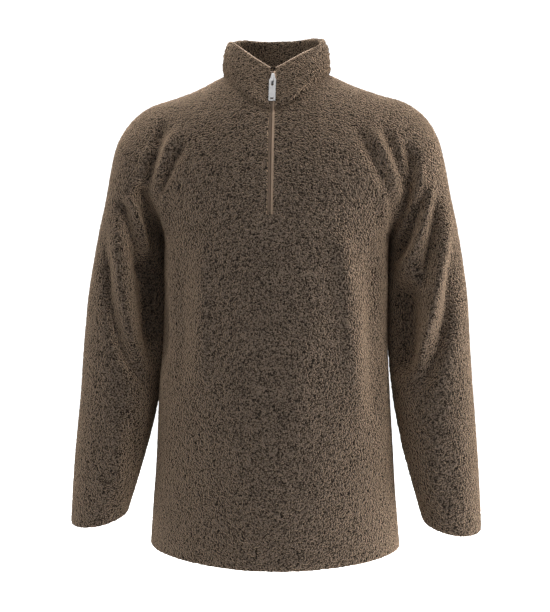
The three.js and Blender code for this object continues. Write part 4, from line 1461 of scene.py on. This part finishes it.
# ---------------------------------------------------------------- stage
# Soft lights: how far each is turned about the pullover from its front and raised, in degrees, then the
# setting that its power is a share of, that share, and its colour.
LIGHTS = (
    ("light_front_left", 55, -25, "key_power", 0.62, (1, 1, 1)),
    ("light_left", 75, -15, "key_power", 0.4, (1, 1, 1)),
    ("light_low_left", 90, -30, "key_power", 1.0, (1, 1, 1)),
    ("light_low_right", -90, -30, "fill_power", 1.5, (1, 1, 1)),
    ("light_right", -60, 35, "fill_power", 0.8, (0.96, 1.0, 1.03)),
    ("light_above", 0, 89, "top_power", 1.0, (1.0, 0.97, 0.93)),
    ("light_behind", 180, 60, "top_power", 2.7, (1, 1, 1)),
)
LIGHTS_AIM_Z = -0.36
LIGHTS_AWAY = 1.75
LIGHT_WIDTH = 1.0
LIGHT_HEIGHT = 1.8
FLOOR_RADIUS = 8
FLOOR_SIDES = 64
BACKDROP_STRENGTH = 1.3
CAMERA_AIM = (-0.0035, 0, -0.3545)
CAMERA_LENS = 50
CAMERA_SENSOR = 36


def add_light(name, turn, rise, power, colour):
    """A tall soft light, turned about the pullover from its front and raised, both in degrees."""
    light = bpy.data.lights.new(name, "AREA")
    light.shape = "RECTANGLE"
    light.size, light.size_y = LIGHT_WIDTH, LIGHT_HEIGHT
    light.energy = power
    light.color = colour
    obj = bpy.data.objects.new(name, light)
    turn, rise = math.radians(turn), math.radians(rise)
    way = Vector((math.sin(turn) * math.cos(rise), -math.cos(turn) * math.cos(rise), math.sin(rise)))
    obj.location = Vector((0, 0, LIGHTS_AIM_Z)) + way * LIGHTS_AWAY
    obj.rotation_euler = (-way).to_track_quat("-Z", "Y").to_euler()
    bpy.context.scene.collection.objects.link(obj)


def make_stage():
    look = bpy.context.scene.pullover_stage
    scene = bpy.context.scene
    height = HEM_Z * MM - look.floor_drop
    turns = np.linspace(0, 2 * math.pi, FLOOR_SIDES, endpoint=False)
    ring = [(FLOOR_RADIUS * math.cos(turn), FLOOR_RADIUS * math.sin(turn), height) for turn in turns]
    mesh = bpy.data.meshes.new("floor")
    mesh.from_pydata(ring, [], [list(range(FLOOR_SIDES))])
    floor = bpy.data.objects.new("floor", mesh)
    scene.collection.objects.link(floor)
    material = Finish("pale_floor").made(
        Base_Color=rgb(look.floor_colour), Roughness=0.9, Emission_Color=WHITE, Emission_Strength=1.0
    )
    floor.data.materials.append(material)
    floor.visible_diffuse = False
    floor.visible_shadow = False

    world = bpy.data.worlds.new("studio")
    scene.world = world
    world.use_nodes = True
    world.node_tree.nodes.clear()
    sky = Shading(world.node_tree)
    seen = sky.node("ShaderNodeBackground", None, {"Color": WHITE, "Strength": BACKDROP_STRENGTH})
    lit = sky.node("ShaderNodeBackground", None, {"Color": WHITE, "Strength": look.ambient})
    in_view = sky.node("ShaderNodeLightPath", output="Is Camera Ray")
    blend = sky.node("ShaderNodeMixShader", None, {"Fac": in_view, "Shader": lit, "Shader_001": seen})
    sky.node("ShaderNodeOutputWorld", None, {"Surface": blend})

    for name, turn, rise, setting, share, colour in LIGHTS:
        add_light(name, turn, rise, getattr(look, setting) * share, colour)

    camera = bpy.data.objects.new("camera", bpy.data.cameras.new("camera"))
    scene.collection.objects.link(camera)
    camera.data.lens = CAMERA_LENS
    camera.data.sensor_width = CAMERA_SENSOR
    back = Vector((math.sin(look.azimuth), -math.cos(look.azimuth), 0))
    camera.location = Vector(CAMERA_AIM) + back * look.distance
    camera.rotation_euler = (-back).to_track_quat("-Z", "Y").to_euler()
    scene.camera = camera
    scene.view_settings.view_transform = "Standard"
    scene.view_settings.look = "None"


# ---------------------------------------------------------------- operators
class PULLOVER_OT_stage(Operator):
    """Add the pale floor, the soft lights and the camera"""

    bl_idname = "pullover.stage"
    bl_label = "Stage"

    def execute(self, context):
        make_stage()
        return {"FINISHED"}


class PULLOVER_OT_body(Operator):
    """Add the front with its zip slit, and the back"""

    bl_idname = "pullover.body"
    bl_label = "Front and Back"

    def execute(self, context):
        make_front()
        make_back()
        return {"FINISHED"}


class PULLOVER_OT_sleeves(Operator):
    """Add both sleeves"""

    bl_idname = "pullover.sleeves"
    bl_label = "Sleeves"

    def execute(self, context):
        make_sleeve("sleeve_right")
        make_sleeve("sleeve_left")
        return {"FINISHED"}


class PULLOVER_OT_collar(Operator):
    """Add the stand collar and its light front edge"""

    bl_idname = "pullover.collar"
    bl_label = "Collar"

    def execute(self, context):
        make_collar()
        make_collar_edge()
        return {"FINISHED"}


class PULLOVER_OT_zip_tapes(Operator):
    """Add the two zip tapes and the coil of teeth behind them"""

    bl_idname = "pullover.zip_tapes"
    bl_label = "Zip Tapes"

    def execute(self, context):
        make_tape(1)
        make_tape(-1)
        make_coil()
        return {"FINISHED"}


class PULLOVER_OT_slider(Operator):
    """Add the zip's slider and its pull tab"""

    bl_idname = "pullover.slider"
    bl_label = "Slider and Pull"

    def execute(self, context):
        make_slider()
        make_pull()
        return {"FINISHED"}


OPERATORS = (
    PULLOVER_OT_stage,
    PULLOVER_OT_body,
    PULLOVER_OT_sleeves,
    PULLOVER_OT_collar,
    PULLOVER_OT_zip_tapes,
    PULLOVER_OT_slider,
)


class PULLOVER_PT_sidebar(Panel):
    """Settings and steps of the pullover"""

    bl_label = "Sherpa Half-Zip Pullover"
    bl_idname = "PULLOVER_PT_sidebar"
    bl_space_type = "VIEW_3D"
    bl_region_type = "UI"
    bl_category = "Pullover"

    def draw(self, context):
        for settings in ("pullover_fleece", "pullover_zip", "pullover_stage"):
            group = getattr(context.scene, settings)
            box = self.layout.box()
            for key in group.__annotations__:
                box.prop(group, key)
        for operator in OPERATORS:
            self.layout.operator(operator.bl_idname)


CLASSES = (PULLOVER_PG_fleece, PULLOVER_PG_zip, PULLOVER_PG_stage, *OPERATORS, PULLOVER_PT_sidebar)


def register():
    for cls in CLASSES:
        bpy.utils.register_class(cls)
    bpy.types.Scene.pullover_fleece = PointerProperty(type=PULLOVER_PG_fleece)
    bpy.types.Scene.pullover_zip = PointerProperty(type=PULLOVER_PG_zip)
    bpy.types.Scene.pullover_stage = PointerProperty(type=PULLOVER_PG_stage)


def unregister():
    for settings in ("pullover_stage", "pullover_zip", "pullover_fleece"):
        delattr(bpy.types.Scene, settings)
    for cls in reversed(CLASSES):
        bpy.utils.unregister_class(cls)


def main():
    register()
    bpy.ops.pullover.stage()
    bpy.ops.pullover.body()
    bpy.ops.pullover.sleeves()
    bpy.ops.pullover.collar()
    bpy.ops.pullover.zip_tapes()
    bpy.ops.pullover.slider()


if __name__ == "__main__":
    main()
